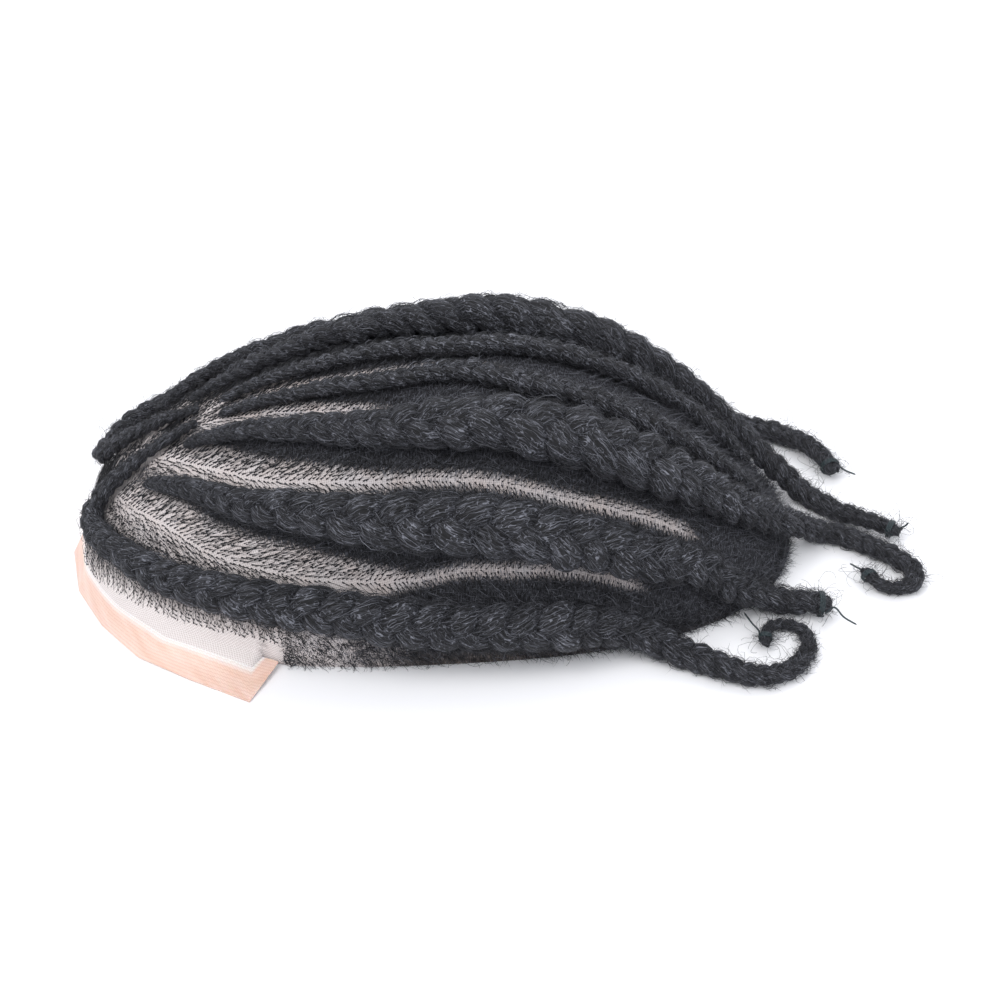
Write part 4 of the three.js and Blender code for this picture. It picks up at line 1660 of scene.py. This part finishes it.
        place_hair("margin_curls", points, radii, tones, material)

    def grow_mat(self, rng, material, shaft):
        """The loose hair that hides the lace behind the partings."""
        count = self.MAT_TRIES
        across = rng.uniform(*self.MAT_ACROSS, count)
        along = rng.uniform(*self.MAT_ALONG, count)
        root = dome_point(across, along) + dome_normal(across, along) * LACE_WALL
        keep = np.hypot(across, along) < MARGIN_SHARE
        keep &= beside_partings(root) > rng.uniform(*self.MAT_FROM_PARTING, count)
        keep &= beside_braids(root, self.MAT_CLEAR) > 0
        fuller = np.clip(along * self.MAT_FULL_AT, 0, 1)
        keep &= rng.uniform(0, 1, count) < mix(self.MAT_IN_FRONT, 1, fuller)
        root, along, count = root[keep], along[keep], int(keep.sum())
        heading = unit(np.array([0, 1.0, 0]) + rng.normal(0, self.MAT_ASTRAY, (count, 3)))
        higher = 1 + self.MAT_HIGHER_BEHIND * np.clip(along * 2, 0, 1)
        lift = rng.uniform(*self.MAT_LIFT, count) * higher
        length = rng.uniform(*self.MAT_LENGTH, count)
        points = grow_on_dome(root, heading, length, EVEN_STEPS, lift)
        places = len(EVEN_STEPS)
        points += kinks(rng, count, places, *self.MAT_KINKS)
        thickness = shaft * rng.uniform(*self.MAT_THICKNESS, count)
        radii = taper(count, places, thickness, thickness)
        tones = rng.beta(*TONES["mat"], count)
        place_hair("back_mat", points, radii, tones, material)

    def execute(self, context):
        hair = context.scene.toupee_hair
        material = loose_fibre(context.scene.toupee_colours)
        shaft = hair.shaft / MM
        self.grow_partings(np.random.default_rng(301), material, shaft, hair.knot_spacing / MM)
        self.grow_front(np.random.default_rng(302), material, shaft, self.FRONT_SPACING)
        self.grow_margin(np.random.default_rng(303), material, shaft)
        self.grow_mat(np.random.default_rng(304), material, shaft)
        return {"FINISHED"}


class TOUPEE_OT_flyaways(PieceOperator, bpy.types.Operator):
    """Lets long stray hairs curl off the braids, most of all where a tail ends"""

    bl_idname = "toupee.flyaways"
    bl_label = "Flyaways"

    TUFT_SHARE = 0.4
    TUFT_LENGTH = 7.0
    PLACES = 9
    ROOT_SHARE = 0.4  # of the braid's width, out from its middle
    LOOP = (1.2, 4.2)
    TURNS = (1.5, 5.5)
    ASTRAY = 0.4
    DRIFT = (0, 0.5)
    FINER = 0.62  # than the fibre of the frizz

    def execute(self, context):
        hair = context.scene.toupee_hair
        material = loose_fibre(context.scene.toupee_colours)
        rng = np.random.default_rng(401)
        places = self.PLACES
        names = [name for name in LINES if not name.startswith("centre")]
        groups = []
        for name in names:
            line = LINES[name]
            count = hair.flyaways // len(names)
            start = rng.integers(0, len(line.along), count)
            tuft = int(count * self.TUFT_SHARE)
            from_end = rng.integers(1, int(self.TUFT_LENGTH / line.SPACING), tuft)
            start[:tuft] = len(line.along) - from_end
            side = rng.choice([-1, 1], (count, 1))
            beside = line.sideways[start] * side
            root = line.middle[start] + beside * line.width[start, None] * self.ROOT_SHARE
            out = unit(beside + line.up[start] * rng.uniform(0, 1, (count, 1)))
            first = unit(out + rng.normal(0, self.ASTRAY, (count, 3)))
            second = unit(np.cross(first, rng.normal(0, 1, (count, 3))))
            loop = rng.uniform(*self.LOOP, (count, 1, 1))
            turns = rng.uniform(*self.TURNS, (count, 1, 1))
            angle = even_share(places) * turns
            points = root[:, None] + first[:, None] * np.sin(angle) * loop
            points = points + second[:, None] * (1 - np.cos(angle)) * loop
            drift = rng.uniform(*self.DRIFT, (count, 1, 1))
            points = points + first[:, None] * angle * loop * drift
            groups.append(points + kinks(rng, count, places, 0.08, 0.1))
        points = np.concatenate(groups)
        count = len(points)
        shaft = hair.shaft / MM * self.FINER
        radii = taper(count, places, shaft, shaft)
        tones = rng.beta(*TONES["flyaway"], count)
        place_hair("flyaway_hair", points, radii, tones, material)
        return {"FINISHED"}


class TOUPEE_OT_ties(PieceOperator, bpy.types.Operator):
    """Winds thread round each tail near its end and leaves a loose end"""

    bl_idname = "toupee.ties"
    bl_label = "Thread ties"

    THREAD = 0.28
    WINDS = 3
    STEPS_PER_WIND = 16
    SPREAD = 0.9  # the winds run this far either way along the tail
    ROUND_IT = 1.06  # over the tail's own size, as its strands swell past it
    LOOSE_STEPS = 10

    def wound(self, line):
        """The course of the thread: round the tail, then off to one side."""
        index = np.argmin(np.abs(line.along - (line.length - TIE_FROM_END)))
        width = line.width[index]
        turn = np.linspace(0, 2 * np.pi * self.WINDS, self.STEPS_PER_WIND * self.WINDS)[:, None]
        along = mix(-self.SPREAD, self.SPREAD, turn / turn.max())
        side = width / 2 * self.ROUND_IT + self.THREAD
        rise = width * BRAID_FLATNESS / 2 * self.ROUND_IT + self.THREAD
        middle = line.middle[index]
        return middle, (
            middle
            + line.tangent[index] * along
            + line.sideways[index] * np.cos(turn) * side
            + line.up[index] * np.sin(turn) * rise
        )

    def add_thread(self, bm, uv_layer, course):
        """Adds a round thread along a course, rounded at both ends."""
        tangent = unit(np.gradient(course, axis=0))
        across, downward = square_to(tangent)
        count = len(course)
        edge = np.minimum(np.arange(count), np.arange(count)[::-1])
        size = self.THREAD * np.sqrt(1 - (1 - np.clip((edge + 0.2) / 2, 0, 1)) ** 2)[:, None]
        add_tube(bm, uv_layer, course, across * size, -downward * size)

    def execute(self, context):
        material = sewing_thread(context.scene.toupee_colours)
        for name, offsets in THREAD_ENDS.items():
            line = LINES[name]
            middle, winding = self.wound(line)
            bm, uv_layer = new_bmesh()
            self.add_thread(bm, uv_layer, winding)
            rows = [winding[-1], *(middle + offset for offset in np.array(offsets))]
            loose = smooth_line(rows, self.LOOSE_STEPS)[0]
            loose[:, 2] = np.maximum(loose[:, 2], self.THREAD + FLOOR_GAP)
            self.add_thread(bm, uv_layer, loose)
            close_and_turn(bm)
            mesh = bmesh_to_mesh(bm, f"tie_{name}")
            place_mesh(f"tie_{name}", mesh, material, [f"thread_tie_{name}"])
        return {"FINISHED"}


class TOUPEE_OT_stage(PieceOperator, bpy.types.Operator):
    """Sets the floor, the soft lights and the camera"""

    bl_idname = "toupee.stage"
    bl_label = "Stage"

    LENS = 57.0
    TARGET = (0.0, 14.1, 13.3)
    DISTANCE = 517.7
    AZIMUTH = math.radians(85.5)
    ELEVATION = math.radians(38.73)
    WORLD_STRENGTH = 0.75
    LIGHTS = (
        ("key", (0.5, -0.7, 1.3), 0.9, 12.5, (1.0, 0.99, 0.98)),
        ("fill", (0.9, 0.6, 0.9), 1.0, 6.0, (0.96, 0.98, 1.0)),
        ("back", (-0.9, 0.2, 1.1), 1.1, 6.0, (1.0, 1.0, 1.0)),
    )

    def add_light(self, name, place, size, power, colour):
        """Adds a square area light that faces the toupee."""
        data = bpy.data.lights.new(name, "AREA")
        data.size = size
        data.energy = power
        data.color = colour
        light = bpy.data.objects.new(name, data)
        light.location = place
        light.rotation_euler = (-Vector(place)).to_track_quat("-Z", "Y").to_euler()
        bpy.context.scene.collection.objects.link(light)

    def execute(self, context):
        scene = context.scene
        bm = bmesh.new()
        bmesh.ops.create_grid(bm, x_segments=2, y_segments=2, size=3)
        mesh = bmesh_to_mesh(bm, "floor")
        floor = bpy.data.objects.new("floor", mesh)
        material, tree = new_material("white paper sweep")
        shader = add_node(
            tree, "ShaderNodeBsdfPrincipled", Base_Color=linear("#f6f6f8"), Roughness=0.9
        )
        mesh.materials.append(finish_material(material, tree, shader))
        scene.collection.objects.link(floor)

        world = bpy.data.worlds.new("pale studio")
        world.use_nodes = True
        background = world.node_tree.nodes["Background"]
        background.inputs["Color"].default_value = linear("#f4f6fc")
        background.inputs["Strength"].default_value = self.WORLD_STRENGTH
        scene.world = world
        for light in self.LIGHTS:
            self.add_light(*light)
        scene.view_settings.view_transform = "Standard"

        target = in_part(self.TARGET)
        away = np.array([
            math.cos(self.ELEVATION) * math.sin(self.AZIMUTH),
            -math.cos(self.ELEVATION) * math.cos(self.AZIMUTH),
            math.sin(self.ELEVATION),
        ])
        data = bpy.data.cameras.new("camera")
        data.lens = self.LENS
        data.sensor_width = 36
        data.clip_start = 0.01
        camera = bpy.data.objects.new("camera", data)
        camera.location = Vector(target + away * self.DISTANCE * MM)
        camera.rotation_euler = Vector(-away).to_track_quat("-Z", "Y").to_euler()
        scene.collection.objects.link(camera)
        scene.camera = camera
        return {"FINISHED"}


OPERATORS = (
    TOUPEE_OT_lace,
    TOUPEE_OT_tape,
    TOUPEE_OT_plaits,
    TOUPEE_OT_frizz,
    TOUPEE_OT_parting_hair,
    TOUPEE_OT_flyaways,
    TOUPEE_OT_ties,
    TOUPEE_OT_stage,
)


class TOUPEE_PT_panel(bpy.types.Panel):
    """Lists the pieces of the toupee and their settings"""

    bl_idname = "TOUPEE_PT_panel"
    bl_label = "Cornrow toupee"
    bl_space_type = "VIEW_3D"
    bl_region_type = "UI"
    bl_category = "Toupee"

    def draw(self, context):
        for group in (context.scene.toupee_hair, context.scene.toupee_colours):
            for name in group.__annotations__:
                self.layout.prop(group, name)
        for operator in OPERATORS:
            self.layout.operator(operator.bl_idname)


CLASSES = (ToupeeHair, ToupeeColours, *OPERATORS, TOUPEE_PT_panel)


def register():
    """Registers the classes and their settings."""
    for entry in CLASSES:
        bpy.utils.register_class(entry)
    bpy.types.Scene.toupee_hair = bpy.props.PointerProperty(type=ToupeeHair)
    bpy.types.Scene.toupee_colours = bpy.props.PointerProperty(type=ToupeeColours)


def unregister():
    """Takes the settings and the classes away again."""
    del bpy.types.Scene.toupee_hair
    del bpy.types.Scene.toupee_colours
    for entry in reversed(CLASSES):
        bpy.utils.unregister_class(entry)


def main():
    register()
    for operator in OPERATORS:
        group, name = operator.bl_idname.split(".")
        getattr(getattr(bpy.ops, group), name)()


if __name__ == "__main__":
    main()
